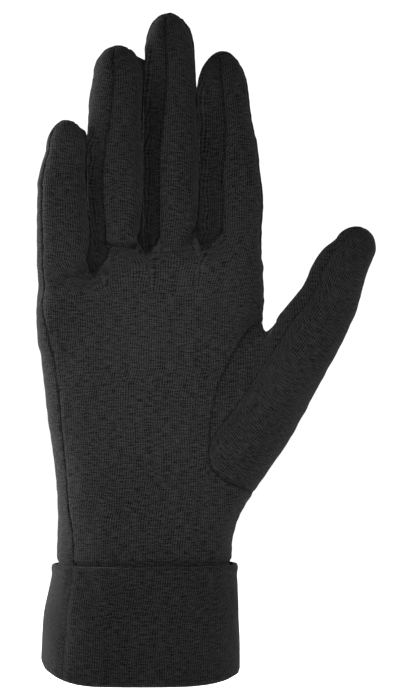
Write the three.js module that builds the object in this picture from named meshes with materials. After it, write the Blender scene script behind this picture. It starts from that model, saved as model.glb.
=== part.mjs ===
// Glove liner: one knitted right-hand glove with its form held, palm towards -Y, fingers up.
// Millimetres, +Z towards the fingertips, +X towards the thumb, origin at the middle of the cuff's opening.
// The whole outer skin is one smooth union of a hand body, four fingers and a thumb. Each cut piece is a grid
// of rays cast from inside the hand on to that skin, so neighbouring pieces share their seam lines.

import * as THREE from 'three';

// Cloth
const CLOTH = 1.0; // single jersey
const CUFF_CLOTH = 1.4; // two layers folded together
const SEAM_GAP = 0.3; // clear space along every seam

// Hand body: heights follow each other upwards from the hem
const CUFF_HEIGHT = 43.8;
const WRIST_LENGTH = 26.3;
const PALM_LENGTH = 82;
const HEM_BREADTH = 71;
const HEM_DEPTH = 47;
const WRIST_BREADTH = 65.5;
const WRIST_DEPTH = 40;
const PALM_DEPTH = 30;
const FINGER_GAP = 0.7;
const HEM_TUCK = 3.2; // height of the sleeve's lower edge inside the hem
const HEM_LIP = 8; // how far the hem turns up inside the sleeve
const HEM_RISE_LITTLE = 7.5; // the hem's corner on the little finger's side
const HEM_RISE_THUMB = 3.4; // and on the thumb's side

// Thumb
const THUMB_LENGTH = 75; // from the middle of its mound to its tip
const THUMB_BREADTH = 23.5;
const THUMB_DEPTH = 21;
const THUMB_LEAN = 28.9; // degrees from upright
const THUMB_MOUND = 64; // how far the mound runs down before it fades out
const THUMB_HOLE_DROP = 17.3; // the seam loop's fall from the crotch to the palm
const THUMB_HOLE_LIFT = 12.5; // and its rise from the heel to the palm
const THUMB_HOLE_BOW = 5.6; // how far it bows into the palm

// Fingers from the little finger to the index finger, lengths measured from the fork
const FINGERS = [
  { name: 'little', length: 57.6, breadth: 18.8, depth: 15.5, forward: 2.2, cap: 11.5, curl: 4.5, turn: 0 },
  { name: 'ring', length: 81.2, breadth: 20.4, depth: 17.0, forward: 0.9, cap: 15, curl: 5.5, turn: 2 },
  { name: 'middle', length: 88.0, breadth: 20.9, depth: 17.6, forward: 0, cap: 15, curl: 5.5, turn: 0 },
  { name: 'index', length: 72.5, breadth: 22.8, depth: 17.6, forward: -0.7, cap: 17, curl: 4.5, turn: -8 },
];

// Finger sections: share of the length, sideways shift and breadth as shares of the finger's breadth,
// depth as a share of its depth
const FINGER_SECTIONS = {
  little: [
    { at: 0.0, shift: 0.06, breadth: 1.13, depth: 1.0 },
    { at: 0.23, shift: 0.05, breadth: 1.1, depth: 1.0 },
    { at: 0.36, shift: 0.018, breadth: 1.035, depth: 1.0 },
    { at: 0.49, shift: 0.006, breadth: 1.0, depth: 0.98 },
    { at: 0.62, shift: 0.006, breadth: 0.96, depth: 0.96 },
    { at: 0.8, shift: 0.053, breadth: 0.82, depth: 0.88 },
  ],
  ring: [
    { at: 0.0, shift: 0.067, breadth: 0.86, depth: 1.0 },
    { at: 0.11, shift: 0.053, breadth: 0.885, depth: 1.0 },
    { at: 0.3, shift: 0.002, breadth: 0.975, depth: 1.0 },
    { at: 0.53, shift: -0.026, breadth: 1.005, depth: 1.0 },
    { at: 0.75, shift: -0.004, breadth: 0.965, depth: 0.95 },
    { at: 0.83, shift: 0.012, breadth: 0.9, depth: 0.88 },
  ],
  middle: [
    { at: 0.0, shift: -0.018, breadth: 0.95, depth: 1.0 },
    { at: 0.2, shift: -0.013, breadth: 0.99, depth: 1.0 },
    { at: 0.42, shift: -0.03, breadth: 0.98, depth: 1.0 },
    { at: 0.64, shift: -0.053, breadth: 0.935, depth: 0.95 },
    { at: 0.83, shift: -0.09, breadth: 0.89, depth: 0.88 },
  ],
  index: [
    { at: 0.0, shift: -0.04, breadth: 0.98, depth: 1.04 },
    { at: 0.23, shift: -0.015, breadth: 0.99, depth: 1.0 },
    { at: 0.49, shift: -0.069, breadth: 0.925, depth: 0.98 },
    { at: 0.64, shift: -0.118, breadth: 0.873, depth: 0.94 },
    { at: 0.78, shift: -0.15, breadth: 0.85, depth: 0.88 },
  ],
};

// Forks between neighbouring fingers: rise above the lowest fork as a share of the palm's length
const FORKS = [{ rise: 0 }, { rise: 0.1 }, { rise: 0.135 }];

// Seam angles around a finger, degrees from its palm side: 0 along is the fork, 1 the tip's dome, 2 its top
const SEAMS = [
  { along: 0.0, littleFront: 30, littleBack: 112, thumbFront: 60, thumbBack: 124 },
  { along: 0.2, littleFront: 30, littleBack: 108, thumbFront: 76, thumbBack: 138 },
  { along: 0.4, littleFront: 30, littleBack: 104, thumbFront: 84, thumbBack: 146 },
  { along: 0.6, littleFront: 20, littleBack: 98, thumbFront: 84, thumbBack: 146 },
  { along: 0.8, littleFront: 9, littleBack: 92, thumbFront: 82, thumbBack: 140 },
  { along: 1.0, littleFront: 8, littleBack: 88, thumbFront: 78, thumbBack: 132 },
  { along: 2.0, littleFront: 16, littleBack: 68, thumbFront: 62, thumbBack: 104 },
];
const STRIP_END = 1.8; // where a side strip's point ends on a fingertip, in the seam table's measure

// The two sides of the hand that hold no side strip: corners of the panels and the seam between them, in degrees
// around the outer finger, and the number of columns on both sides of the seam
const OUTER_SIDES = {
  little: { front: 24, seam: 58, back: 122, columns: { front: 2, back: 4 } },
  thumb: { front: 24, seam: 76, back: 122, columns: { front: 3, back: 3 } },
};

// Heights
const HEEL = CUFF_HEIGHT + WRIST_LENGTH;
const PALM_TOP = HEEL + PALM_LENGTH;
const PALM_BREADTH = FINGERS.reduce((sum, finger) => sum + finger.breadth, 0) + 3 * FINGER_GAP;
const PALM_SHIFT = 3.9; // the palm's middle, to the thumb's side of the cuff's middle

// Sections of the hand body from the hem to the fingers
const BODY = [
  { height: 0, breadth: HEM_BREADTH, depth: HEM_DEPTH, shift: 0 },
  { height: 0.52 * CUFF_HEIGHT, breadth: 0.966 * HEM_BREADTH, depth: 0.96 * HEM_DEPTH, shift: 0.06 * PALM_SHIFT },
  { height: 0.95 * CUFF_HEIGHT, breadth: 1.008 * WRIST_BREADTH, depth: 1.05 * WRIST_DEPTH, shift: 0.38 * PALM_SHIFT },
  { height: CUFF_HEIGHT + 0.35 * WRIST_LENGTH, breadth: WRIST_BREADTH, depth: WRIST_DEPTH, shift: 0.4 * PALM_SHIFT },
  { height: CUFF_HEIGHT + 0.7 * WRIST_LENGTH, breadth: 1.01 * WRIST_BREADTH, depth: 0.97 * WRIST_DEPTH,
    shift: 0.55 * PALM_SHIFT },
  { height: HEEL + 0.06 * PALM_LENGTH, breadth: 0.825 * PALM_BREADTH, depth: 1.2 * PALM_DEPTH,
    shift: 0.87 * PALM_SHIFT },
  { height: HEEL + 0.34 * PALM_LENGTH, breadth: 0.905 * PALM_BREADTH, depth: 1.07 * PALM_DEPTH, shift: PALM_SHIFT },
  { height: HEEL + 0.61 * PALM_LENGTH, breadth: 0.962 * PALM_BREADTH, depth: 0.98 * PALM_DEPTH, shift: PALM_SHIFT },
  { height: HEEL + 0.88 * PALM_LENGTH, breadth: 0.982 * PALM_BREADTH, depth: 0.88 * PALM_DEPTH, shift: PALM_SHIFT },
  { height: HEEL + 1.15 * PALM_LENGTH, breadth: 0.97 * PALM_BREADTH, depth: 0.8 * PALM_DEPTH, shift: PALM_SHIFT },
];
// Turn of the side seams round the hand, as a share of the way from its palm to its back
const SIDE_SEAMS = [
  { height: 0, little: 0.2, thumb: 0.5 },
  { height: CUFF_HEIGHT, little: 0.2, thumb: 0.5 },
  { height: HEEL, little: 0.26, thumb: 0.5 },
  { height: HEEL + 0.3 * PALM_LENGTH, little: 0.235, thumb: 0.5 },
  { height: HEEL + 0.58 * PALM_LENGTH, little: 0.225, thumb: 0.5 },
  { height: HEEL + 0.83 * PALM_LENGTH, little: 0.3, thumb: 0.5 },
  { height: PALM_TOP, little: 0.32, thumb: 0.5 },
];
const BODY_ROUNDNESS = 2.3; // 2 is an ellipse, more is boxier
const BODY_TOP_ROUNDING = 9; // how gently the body closes between the fingers

// Thumb sections from the mound's middle to the tip: shift and breadth as shares of the thumb's breadth,
// depth as a share of its depth, forward as a share of its length
const THUMB_SECTIONS = [
  { at: -0.4, shift: 0.1, breadth: 1.06, depth: 1.5, forward: 0.03 },
  { at: 0.0, shift: 0.128, breadth: 1.085, depth: 1.52, forward: 0.05 },
  { at: 0.36, shift: 0.088, breadth: 1.13, depth: 1.16, forward: 0.09 },
  { at: 0.6, shift: 0.14, breadth: 0.95, depth: 0.98, forward: 0.14 },
  { at: 0.73, shift: 0.075, breadth: 0.88, depth: 0.93, forward: 0.165 },
  { at: 0.81, shift: 0.062, breadth: 0.785, depth: 0.87, forward: 0.18 },
  { at: 0.89, shift: 0.09, breadth: 0.66, depth: 0.76, forward: 0.19 },
];
const THUMB_ROOT = { across: 0.52, up: 0.395 }; // shares of the palm's breadth and length

// Folds and dents pressed into the skin: a line in the photo's plane, how wide and deep the valley is,
// and the face of the hand that it lies on, -1 the palm's and 1 the back's
const FOLDS = [
  { name: 'palm hollow', fromX: -4, fromZ: 128, toX: 14, toZ: 112, width: 15, depth: 0.9, face: -1 },
  { name: 'under the little finger', fromX: -38, fromZ: 146, toX: -19, toZ: 151, width: 5, depth: 1.1, face: -1 },
  { name: 'at the ring finger', fromX: -14, fromZ: 163, toX: -2, toZ: 162, width: 4, depth: 1.2, face: -1 },
  { name: 'at the middle finger', fromX: 2, fromZ: 163, toX: 8, toZ: 156, width: 4, depth: 1, face: -1 },
  { name: 'at the index finger', fromX: 17, fromZ: 162, toX: 28, toZ: 165, width: 4, depth: 1, face: -1 },
  { name: 'from the crotch', fromX: 46, fromZ: 132, toX: 26, toZ: 124, width: 6, depth: 1, face: -1 },
  { name: 'outer palm', fromX: -38, fromZ: 130, toX: -16, toZ: 133, width: 6, depth: 0.8, face: -1 },
  { name: 'front of the wrist', fromX: -30, fromZ: 56, toX: 4, toZ: 50, width: 5, depth: 0.8, face: -1 },
  { name: 'back of the knuckles', fromX: -22, fromZ: 146, toX: 22, toZ: 150, width: 7, depth: 0.8, face: 1 },
  { name: 'back of the wrist', fromX: -26, fromZ: 54, toX: 20, toZ: 58, width: 6, depth: 0.9, face: 1 },
];

// How softly the forms run into each other
const FINGER_BLEND = 3;
const THUMB_BLEND = 7;

// Grid counts
const COLUMNS = { finger: 4, fork: 2, strip: 3 };
const ROWS = { cuff: 3, heel: 4, hole: 5, upper: 3, root: 3, finger: 6, dome: 4, thumbRoot: 7, thumb: 6 };

// Fineness of the ray casting
const CAST_STEP = 0.7; // share of the distance taken in one step
const CAST_STEPS = 60;
const CAST_NEAR = 1e-6;
const NORMAL_STEP = 0.05;
const SAME_DIRECTION = 1e-4;

const CHARCOAL = '#2b2c2e';
const RADIANS = Math.PI / 180;
const FULL_TURN = 360;

const mix = (from, to, share) => from + (to - from) * share;
const clamp = (value, low, high) => Math.min(high, Math.max(low, value));
const mixVector = (from, to, share) => from.clone().lerp(to, share);

// A smooth curve through one column of a table, level beyond its ends
function along(table, key, value, column) {
  const last = table.length - 1;
  if (value <= table[0][key]) return table[0][column];
  if (value >= table[last][key]) return table[last][column];
  const slope = (row) => {
    const low = table[Math.max(row - 1, 0)];
    const high = table[Math.min(row + 1, last)];
    return (high[column] - low[column]) / (high[key] - low[key]);
  };
  const row = table.findIndex((entry) => entry[key] > value) - 1;
  const span = table[row + 1][key] - table[row][key];
  const t = (value - table[row][key]) / span;
  const bend = t * t * (3 - 2 * t);
  return mix(table[row][column], table[row + 1][column], bend)
    + span * t * (1 - t) * ((1 - t) * slope(row) - t * slope(row + 1));
}

// Within this share of its half sizes a form's gradient is taken as level
const MIDDLE_SHARE = 0.01;

// Distance to a rounded form whose half sizes are given for each of its own axes
function roundDistance(offsets, halves, roundness) {
  let sum = 0;
  let steepness = 0;
  offsets.forEach((offset, axis) => {
    const share = Math.abs(offset) / halves[axis];
    sum += share ** roundness;
    steepness += (share ** (roundness - 1) / halves[axis]) ** 2;
  });
  const radius = sum ** (1 / roundness);
  if (radius < MIDDLE_SHARE) return (radius - 1) * Math.min(...halves);
  const gradient = radius ** (1 - roundness) * Math.sqrt(steepness);
  return (radius - 1) / gradient;
}

// Soft union of two distances
function blend(first, second, width) {
  const overlap = Math.max(width - Math.abs(first - second), 0) / width;
  return Math.min(first, second) - overlap * overlap * width / 4;
}

// Finger places: base centre, fork heights on both sides and the heights of base, dome and tip
const forkHeight = (fork) => PALM_TOP + FORKS[fork].rise * PALM_LENGTH;
let reach = PALM_SHIFT - PALM_BREADTH / 2;
const fingers = FINGERS.map((finger, index) => {
  const littleFork = forkHeight(Math.max(index - 1, 0));
  const thumbFork = forkHeight(Math.min(index, FORKS.length - 1));
  const base = (littleFork + thumbFork) / 2;
  const tip = base + finger.length;
  const x = reach + finger.breadth / 2;
  reach += finger.breadth + FINGER_GAP;
  const sections = FINGER_SECTIONS[finger.name];
  return { ...finger, x, littleFork, thumbFork, base, tip, dome: tip - finger.cap, sections };
});
const forkPlaces = FORKS.map((fork, index) => ({
  x: (fingers[index].x + fingers[index].breadth / 2) + FINGER_GAP / 2,
  height: forkHeight(index),
}));

// Centre and half sizes of a finger at a height
function fingerSection(finger, z) {
  const share = (Math.min(z, finger.dome) - finger.base) / finger.length;
  const bent = clamp(share, 0, 1);
  return {
    x: finger.x + along(finger.sections, 'at', share, 'shift') * finger.breadth,
    y: -finger.forward - finger.curl * bent * bent,
    halfBreadth: along(finger.sections, 'at', share, 'breadth') * finger.breadth / 2,
    halfDepth: along(finger.sections, 'at', share, 'depth') * finger.depth / 2,
  };
}

const FINGER_ROOT = 22; // how far a finger's form reaches down into the hand
function fingerDistance(finger, point) {
  const section = fingerSection(finger, point.z);
  const rise = Math.max(point.z - finger.dome, 0);
  const sink = Math.max(finger.base - FINGER_ROOT - point.z, 0);
  return roundDistance([point.x - section.x, point.y - section.y, rise + sink],
    [section.halfBreadth, section.halfDepth, finger.cap], 2);
}

function bodySection(z) {
  return {
    x: along(BODY, 'height', z, 'shift'),
    halfBreadth: along(BODY, 'height', z, 'breadth') / 2,
    halfDepth: along(BODY, 'height', z, 'depth') / 2,
  };
}

function bodyDistance(point) {
  const section = bodySection(point.z);
  const top = along(forkPlaces, 'x', point.x, 'height');
  const rise = Math.max(point.z - (top - BODY_TOP_ROUNDING), 0);
  return roundDistance([point.x - section.x, point.y, rise],
    [section.halfBreadth, section.halfDepth, BODY_TOP_ROUNDING], BODY_ROUNDNESS);
}

// The thumb's own frame: up along it, across it to the outside, and forward
const thumbUp = new THREE.Vector3(Math.sin(THUMB_LEAN * RADIANS), 0, Math.cos(THUMB_LEAN * RADIANS));
const thumbOut = new THREE.Vector3(thumbUp.z, 0, -thumbUp.x);
const thumbRoot = new THREE.Vector3(PALM_SHIFT + THUMB_ROOT.across * PALM_BREADTH, 0,
  HEEL + THUMB_ROOT.up * PALM_LENGTH).addScaledVector(thumbOut, -THUMB_SECTIONS[1].shift * THUMB_BREADTH);
const THUMB_DOME = THUMB_SECTIONS[THUMB_SECTIONS.length - 1].at;

function thumbSection(share) {
  return {
    out: along(THUMB_SECTIONS, 'at', share, 'shift') * THUMB_BREADTH,
    y: -along(THUMB_SECTIONS, 'at', share, 'forward') * THUMB_LENGTH,
    halfBreadth: along(THUMB_SECTIONS, 'at', share, 'breadth') * THUMB_BREADTH / 2,
    halfDepth: along(THUMB_SECTIONS, 'at', share, 'depth') * THUMB_DEPTH / 2,
  };
}

function thumbAxis(share) {
  const section = thumbSection(share);
  return thumbRoot.clone().addScaledVector(thumbUp, share * THUMB_LENGTH)
    .addScaledVector(thumbOut, section.out).setY(section.y);
}

function thumbDistance(point) {
  const offset = point.clone().sub(thumbRoot);
  const up = offset.dot(thumbUp);
  const section = thumbSection(up / THUMB_LENGTH);
  const domeLength = (1 - THUMB_DOME) * THUMB_LENGTH;
  const rise = Math.max(up - THUMB_DOME * THUMB_LENGTH, 0) / domeLength;
  const sink = Math.max(-up, 0) / THUMB_MOUND;
  const end = rise > 0 ? [rise * domeLength, domeLength] : [sink * THUMB_MOUND, THUMB_MOUND];
  return roundDistance([offset.dot(thumbOut) - section.out, point.y - section.y, end[0]],
    [section.halfBreadth, section.halfDepth, end[1]], 2);
}

// How deep the folds press into the skin at a point
function foldDepth(point) {
  return FOLDS.reduce((deep, fold) => {
    if (point.y * fold.face <= 0) return deep;
    const [runX, runZ] = [fold.toX - fold.fromX, fold.toZ - fold.fromZ];
    const share = ((point.x - fold.fromX) * runX + (point.z - fold.fromZ) * runZ) / (runX * runX + runZ * runZ);
    const near = clamp(share, 0, 1);
    const away = Math.hypot(point.x - fold.fromX - near * runX, point.z - fold.fromZ - near * runZ);
    return deep + fold.depth * Math.exp(-((away / fold.width) ** 2)) * Math.min(Math.abs(point.y) / fold.width, 1);
  }, 0);
}

// Distance from the outer skin of the whole hand, negative inside
function skinDistance(point) {
  const nearest = Math.min(...fingers.map((finger) => fingerDistance(finger, point)));
  const whole = blend(blend(bodyDistance(point), nearest, FINGER_BLEND), thumbDistance(point), THUMB_BLEND);
  return whole + foldDepth(point);
}

function skinNormal(point) {
  const slope = (axis) => {
    const offset = new THREE.Vector3().setComponent(axis, NORMAL_STEP);
    return skinDistance(point.clone().add(offset)) - skinDistance(point.clone().sub(offset));
  };
  return new THREE.Vector3(slope(0), slope(1), slope(2)).normalize();
}

// The point where a ray from inside the hand meets its skin, reached by shortened steps
function onSkin(ray) {
  const point = ray.origin.clone();
  for (let step = 0; step < CAST_STEPS; step += 1) {
    const inside = -skinDistance(point);
    point.addScaledVector(ray.direction, CAST_STEP * inside);
    if (Math.abs(inside) < CAST_NEAR) break;
  }
  return point;
}

const makeRay = (origin, x, y, z) => ({ origin, direction: new THREE.Vector3(x, y, z).normalize() });

// A ray part way between two others, its direction turned evenly
function mixRay(from, to, share) {
  const angle = from.direction.angleTo(to.direction);
  const origin = mixVector(from.origin, to.origin, share);
  if (angle < SAME_DIRECTION) return { origin, direction: to.direction.clone() };
  const direction = from.direction.clone().multiplyScalar(Math.sin((1 - share) * angle) / Math.sin(angle))
    .addScaledVector(to.direction, Math.sin(share * angle) / Math.sin(angle));
  return { origin, direction };
}

// Height where the side strips of a fork begin to run straight up
const ARM_RISE = 5;

// A ray around a finger: measure 0 to 1 climbs from the fork to the dome, 1 to 2 goes over the dome.
// The angle is in degrees from the palm side, positive towards the little finger.
function fingerRay(finger, measure, angle) {
  const lean = (1 + Math.sin(angle * RADIANS)) / 2;
  const foot = mix(finger.thumbFork, finger.littleFork, lean) + ARM_RISE;
  const z = mix(foot, finger.dome, Math.min(measure, 1));
  const climb = Math.max(measure - 1, 0) * Math.PI / 2;
  const section = fingerSection(finger, z);
  return makeRay(new THREE.Vector3(section.x, section.y, z), -Math.sin(angle * RADIANS) * Math.cos(climb),
    -Math.cos(angle * RADIANS) * Math.cos(climb), Math.sin(climb));
}

// Extra clear space where a side strip turns round a fork, as a share of the seam's, and how far up it fades out
const TURN_CLEARANCE = 2.4;
const TURN_REACH = 0.35;

// Degrees that a clear space takes up on a finger, more as the finger closes over its dome
const CLOSING_LIMIT = 0.95;
function clearAngle(finger, measure, space) {
  const radius = finger.breadth / 2 * Math.cos(clamp(measure - 1, 0, CLOSING_LIMIT) * Math.PI / 2);
  return space / radius / RADIANS;
}

// Seam angles on the two sides of a finger, inset by a clear space for the strip between them
function sideAngles(index, side, measure, inset) {
  const finger = fingers[index];
  if (index === (side === 'little' ? 0 : fingers.length - 1)) return OUTER_SIDES[side];
  const turn = side === 'little' ? finger.turn : 0;
  const ease = 1 + TURN_CLEARANCE * Math.max(1 - measure / TURN_REACH, 0);
  const clear = clearAngle(finger, measure, inset * ease);
  return {
    front: along(SEAMS, 'along', measure, `${side}Front`) + turn + clear,
    back: along(SEAMS, 'along', measure, `${side}Back`) + turn - clear,
  };
}

// A ray in the fork between two fingers: turn -1 is the first finger's side, 1 the second one's,
// across runs from the front seam to the back seam
const FORK_DEPTH = 12;
function forkRay(fork, turn, across, inset) {
  const first = sideAngles(fork, 'thumb', 0, inset);
  const second = sideAngles(fork + 1, 'little', 0, inset);
  const share = (turn + 1) / 2;
  const firstAngle = mix(first.front, first.back, across);
  const secondAngle = mix(second.front, second.back, across);
  const from = fingerRay(fingers[fork], 0, -firstAngle).origin;
  const to = fingerRay(fingers[fork + 1], 0, secondAngle).origin;
  const origin = mixVector(from, to, share);
  origin.z -= FORK_DEPTH * Math.cos(turn * Math.PI / 2);
  const angle = mix(firstAngle, secondAngle, share) * RADIANS;
  return makeRay(origin, -Math.sin(turn * Math.PI / 2) * Math.sin(angle), -Math.cos(angle),
    Math.cos(turn * Math.PI / 2) * Math.sin(angle));
}

// The seam loop of the thumb on the hand: its upper and lower edge by the angle around the hand's side
const CROTCH = HEEL + 0.784 * PALM_LENGTH;
const holeTop = (angle) => CROTCH - THUMB_HOLE_DROP * (1 - Math.sin(angle * RADIANS));
const holeBottom = (angle) => HEEL + THUMB_HOLE_LIFT * (1 - Math.sin(angle * RADIANS));
const bow = (z) => {
  const share = clamp((z - holeBottom(0)) / (holeTop(0) - holeBottom(0)), 0, 1);
  return THUMB_HOLE_BOW * 4 * share * (1 - share);
};
const EDGE_SHARE = 0.85; // the radius of the hand's sides, as a share of its half depth

// A ray from the middle of the hand: front and back run across it, little and thumb turn round its sides
function bodyRay(part, share, z) {
  const section = bodySection(z);
  const edge = section.halfBreadth - EDGE_SHARE * section.halfDepth;
  const left = section.x - edge;
  const right = section.x + edge;
  if (part === 'front') return makeRay(new THREE.Vector3(mix(left, right - bow(z), share), 0, z), 0, -1, 0);
  if (part === 'back') return makeRay(new THREE.Vector3(mix(right - bow(z), left, share), 0, z), 0, 1, 0);
  const angle = share * Math.PI;
  if (part === 'thumb') return makeRay(new THREE.Vector3(right, 0, z), Math.sin(angle), -Math.cos(angle), 0);
  return makeRay(new THREE.Vector3(left, 0, z), -Math.sin(angle), Math.cos(angle), 0);
}

// Angle around an outer finger of a column between the panel's corner, portion 0, and the side seam, portion 1
function outerAngle(side, face, portion, measure, inset) {
  const { [face]: corner, seam } = OUTER_SIDES[side];
  const finger = fingers[side === 'little' ? 0 : fingers.length - 1];
  const clear = clearAngle(finger, measure, face === 'front' ? -inset : inset);
  return (side === 'little' ? 1 : -1) * mix(corner, seam + clear, portion);
}

// The same columns at a height of the hand body: how far round the side they stand, 0 the palm and 1 the back
function sideTurn(column, z) {
  const clear = column.inset / (Math.PI * EDGE_SHARE * bodySection(z).halfDepth);
  const seam = along(SIDE_SEAMS, 'height', z, column.part);
  if (column.face === 'front') return column.portion * (seam - clear);
  return 1 - column.portion * (1 - seam - clear);
}

function columnRay(column, z) {
  if (column.portion === undefined) return bodyRay(column.part, column.share, z);
  const turn = sideTurn(column, z);
  return bodyRay(column.part, column.part === 'little' ? 1 - turn : turn, z);
}

// Columns of the hand's palm or back from one side seam to the other. Each knows its place on the hand body,
// and its ray at the foot of the fingers.
function panelColumns(face, inset) {
  const across = face === 'front' ? 0 : 1;
  const spans = FORKS.length * COLUMNS.fork + FINGERS.length * COLUMNS.finger;
  const sheet = [];
  fingers.forEach((finger, index) => {
    const first = sideAngles(index, 'little', 0, 0)[face];
    const last = FULL_TURN * across - sideAngles(index, 'thumb', 0, 0)[face];
    for (let step = 0; step <= COLUMNS.finger; step += 1) {
      sheet.push({ part: face, top: fingerRay(finger, 0, mix(first, last, step / COLUMNS.finger)) });
    }
    if (index === FORKS.length) return;
    for (let step = 1; step < COLUMNS.fork; step += 1) {
      sheet.push({ part: face, top: forkRay(index, 2 * step / COLUMNS.fork - 1, across, 0) });
    }
  });
  sheet.forEach((column, place) => { column.share = Math.abs(across - place / spans); });
  const side = (part, finger) => [...Array(OUTER_SIDES[part].columns[face])].map((_, step, { length }) => {
    const portion = (step + 1) / length;
    return { part, face, portion, inset, top: fingerRay(finger, 0, outerAngle(part, face, portion, 0, inset)) };
  });
  const row = [...side('little', fingers[0]).reverse(), ...sheet, ...side('thumb', fingers[fingers.length - 1])];
  return face === 'front' ? row : row.reverse();
}

// All columns round the hand, with none twice
const handColumns = () => [...panelColumns('front', 0), ...panelColumns('back', 0).slice(1, -1)];

// Angle round the thumb's side of the hand that a column stands at, for the seam loop's edges
function holeAngle(column) {
  if (column.part === 'thumb') return sideTurn({ ...column, inset: 0 }, HEEL) * 180;
  return column.face === 'back' || column.part === 'back' ? 180 : 0;
}

// How far the hem rises towards its corners at a column
function hemRise(column) {
  const { direction } = columnRay(column, 0);
  return (direction.x < 0 ? HEM_RISE_LITTLE : HEM_RISE_THUMB) * (1 - Math.abs(direction.y));
}

// Heights of the rows of one column from the sleeve's lower edge to the row under the fingers
const SHELF = PALM_TOP - 0.1 * PALM_LENGTH;
function columnHeights(column) {
  const angle = holeAngle(column);
  const stops = [HEM_TUCK + hemRise(column), CUFF_HEIGHT, holeBottom(angle), holeTop(angle), SHELF];
  const counts = [ROWS.cuff, ROWS.heel, ROWS.hole, ROWS.upper];
  const heights = [stops[0]];
  counts.forEach((count, part) => {
    for (let row = 1; row <= count; row += 1) heights.push(mix(stops[part], stops[part + 1], row / count));
  });
  return heights;
}
const HOLE_START = ROWS.cuff + ROWS.heel;
const HOLE_END = HOLE_START + ROWS.hole;

// Open surface that keeps shared points once
class Surface {
  constructor() {
    this.points = [];
    this.faces = [];
    this.known = new Map();
  }

  add(point) {
    const key = [point.x, point.y, point.z].map((value) => Math.round(value * 1e4)).join(',');
    if (!this.known.has(key)) {
      this.known.set(key, this.points.length);
      this.points.push(point);
    }
    return this.known.get(key);
  }

  quad(a, b, c, d) {
    if (a !== b && b !== c && a !== c) this.faces.push([a, b, c]);
    if (a !== c && c !== d && a !== d) this.faces.push([a, c, d]);
  }

  // A grid of rows of points; the outside is where rows climb and columns run to the right
  grid(rows, keep = () => true) {
    const ids = rows.map((row) => row.map((point) => this.add(point)));
    for (let row = 0; row + 1 < ids.length; row += 1) {
      for (let column = 0; column + 1 < ids[row].length; column += 1) {
        if (keep(row, column)) {
          this.quad(ids[row][column], ids[row][column + 1], ids[row + 1][column + 1], ids[row + 1][column]);
        }
      }
    }
  }

  // The closed wall between this skin and its copy moved inwards
  wall(thickness) {
    const count = this.points.length;
    const inner = this.points.map((point) => point.clone().addScaledVector(skinNormal(point), -thickness));
    const positions = [...this.points, ...inner];
    const faces = [...this.faces];
    const edges = new Map();
    this.faces.forEach(([a, b, c]) => {
      faces.push([a + count, c + count, b + count]);
      [[a, b], [b, c], [c, a]].forEach(([from, to]) => edges.set(`${from}_${to}`, [from, to]));
    });
    edges.forEach(([from, to]) => {
      if (!edges.has(`${to}_${from}`)) faces.push([to, from, from + count], [to, from + count, to + count]);
    });
    return makeGeometry(positions, faces);
  }
}

function makeGeometry(positions, faces) {
  const geometry = new THREE.BufferGeometry();
  geometry.setAttribute('position', new THREE.Float32BufferAttribute(positions.flatMap((p) => [p.x, p.y, p.z]), 3));
  geometry.setIndex(faces.flat());
  geometry.computeVertexNormals();
  return geometry;
}

// Measures of the rows that climb a finger to its dome and over it
function fingerMeasures() {
  const measures = [];
  for (let row = 0; row <= ROWS.finger; row += 1) measures.push(row / ROWS.finger);
  for (let row = 1; row <= ROWS.dome; row += 1) measures.push(1 + (STRIP_END - 1) * row / ROWS.dome);
  return measures;
}

// Angles of a panel's columns around one finger, in the order of the panel's own columns
function fingerAngles(index, face, measure, inset) {
  const turned = face === 'front' ? 0 : FULL_TURN;
  const first = sideAngles(index, 'little', measure, 0)[face];
  const last = turned - sideAngles(index, 'thumb', measure, 0)[face];
  const angles = [...Array(COLUMNS.finger + 1)].map((_, step) => mix(first, last, step / COLUMNS.finger));
  const side = (part) => [...Array(OUTER_SIDES[part].columns[face])].map((_, step, { length }) =>
    outerAngle(part, face, (step + 1) / length, measure, inset));
  if (index === 0) angles.unshift(...side('little').reverse());
  if (index === fingers.length - 1) angles.push(...side('thumb').map((angle) => angle + turned));
  return face === 'front' ? angles : angles.reverse();
}

// A panel's cap over a fingertip, from where the side strips end to the seam between the two panels
function capRows(index, face, inset) {
  const finger = fingers[index];
  const turned = face === 'front' ? 0 : FULL_TURN;
  const sign = face === 'front' ? -1 : 1;
  const clear = sign * clearAngle(finger, STRIP_END, inset);
  const middle = (side) => {
    const { front, back } = sideAngles(index, side, STRIP_END, 0);
    return (front + back) / 2 + clear;
  };
  const ends = [
    index === 0 ? [] : [middle('little')],
    index === fingers.length - 1 ? [] : [turned - middle('thumb')],
  ];
  if (face === 'back') ends.reverse();
  const angles = [...ends[0], ...fingerAngles(index, face, STRIP_END, inset), ...ends[1]];
  const rim = angles.map((angle) => fingerRay(finger, STRIP_END, angle));
  const seam = rim.map((_, place) => mixRay(rim[0], rim[rim.length - 1], place / (rim.length - 1)));
  return [rim.map(onSkin), seam.map(onSkin)];
}

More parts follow.
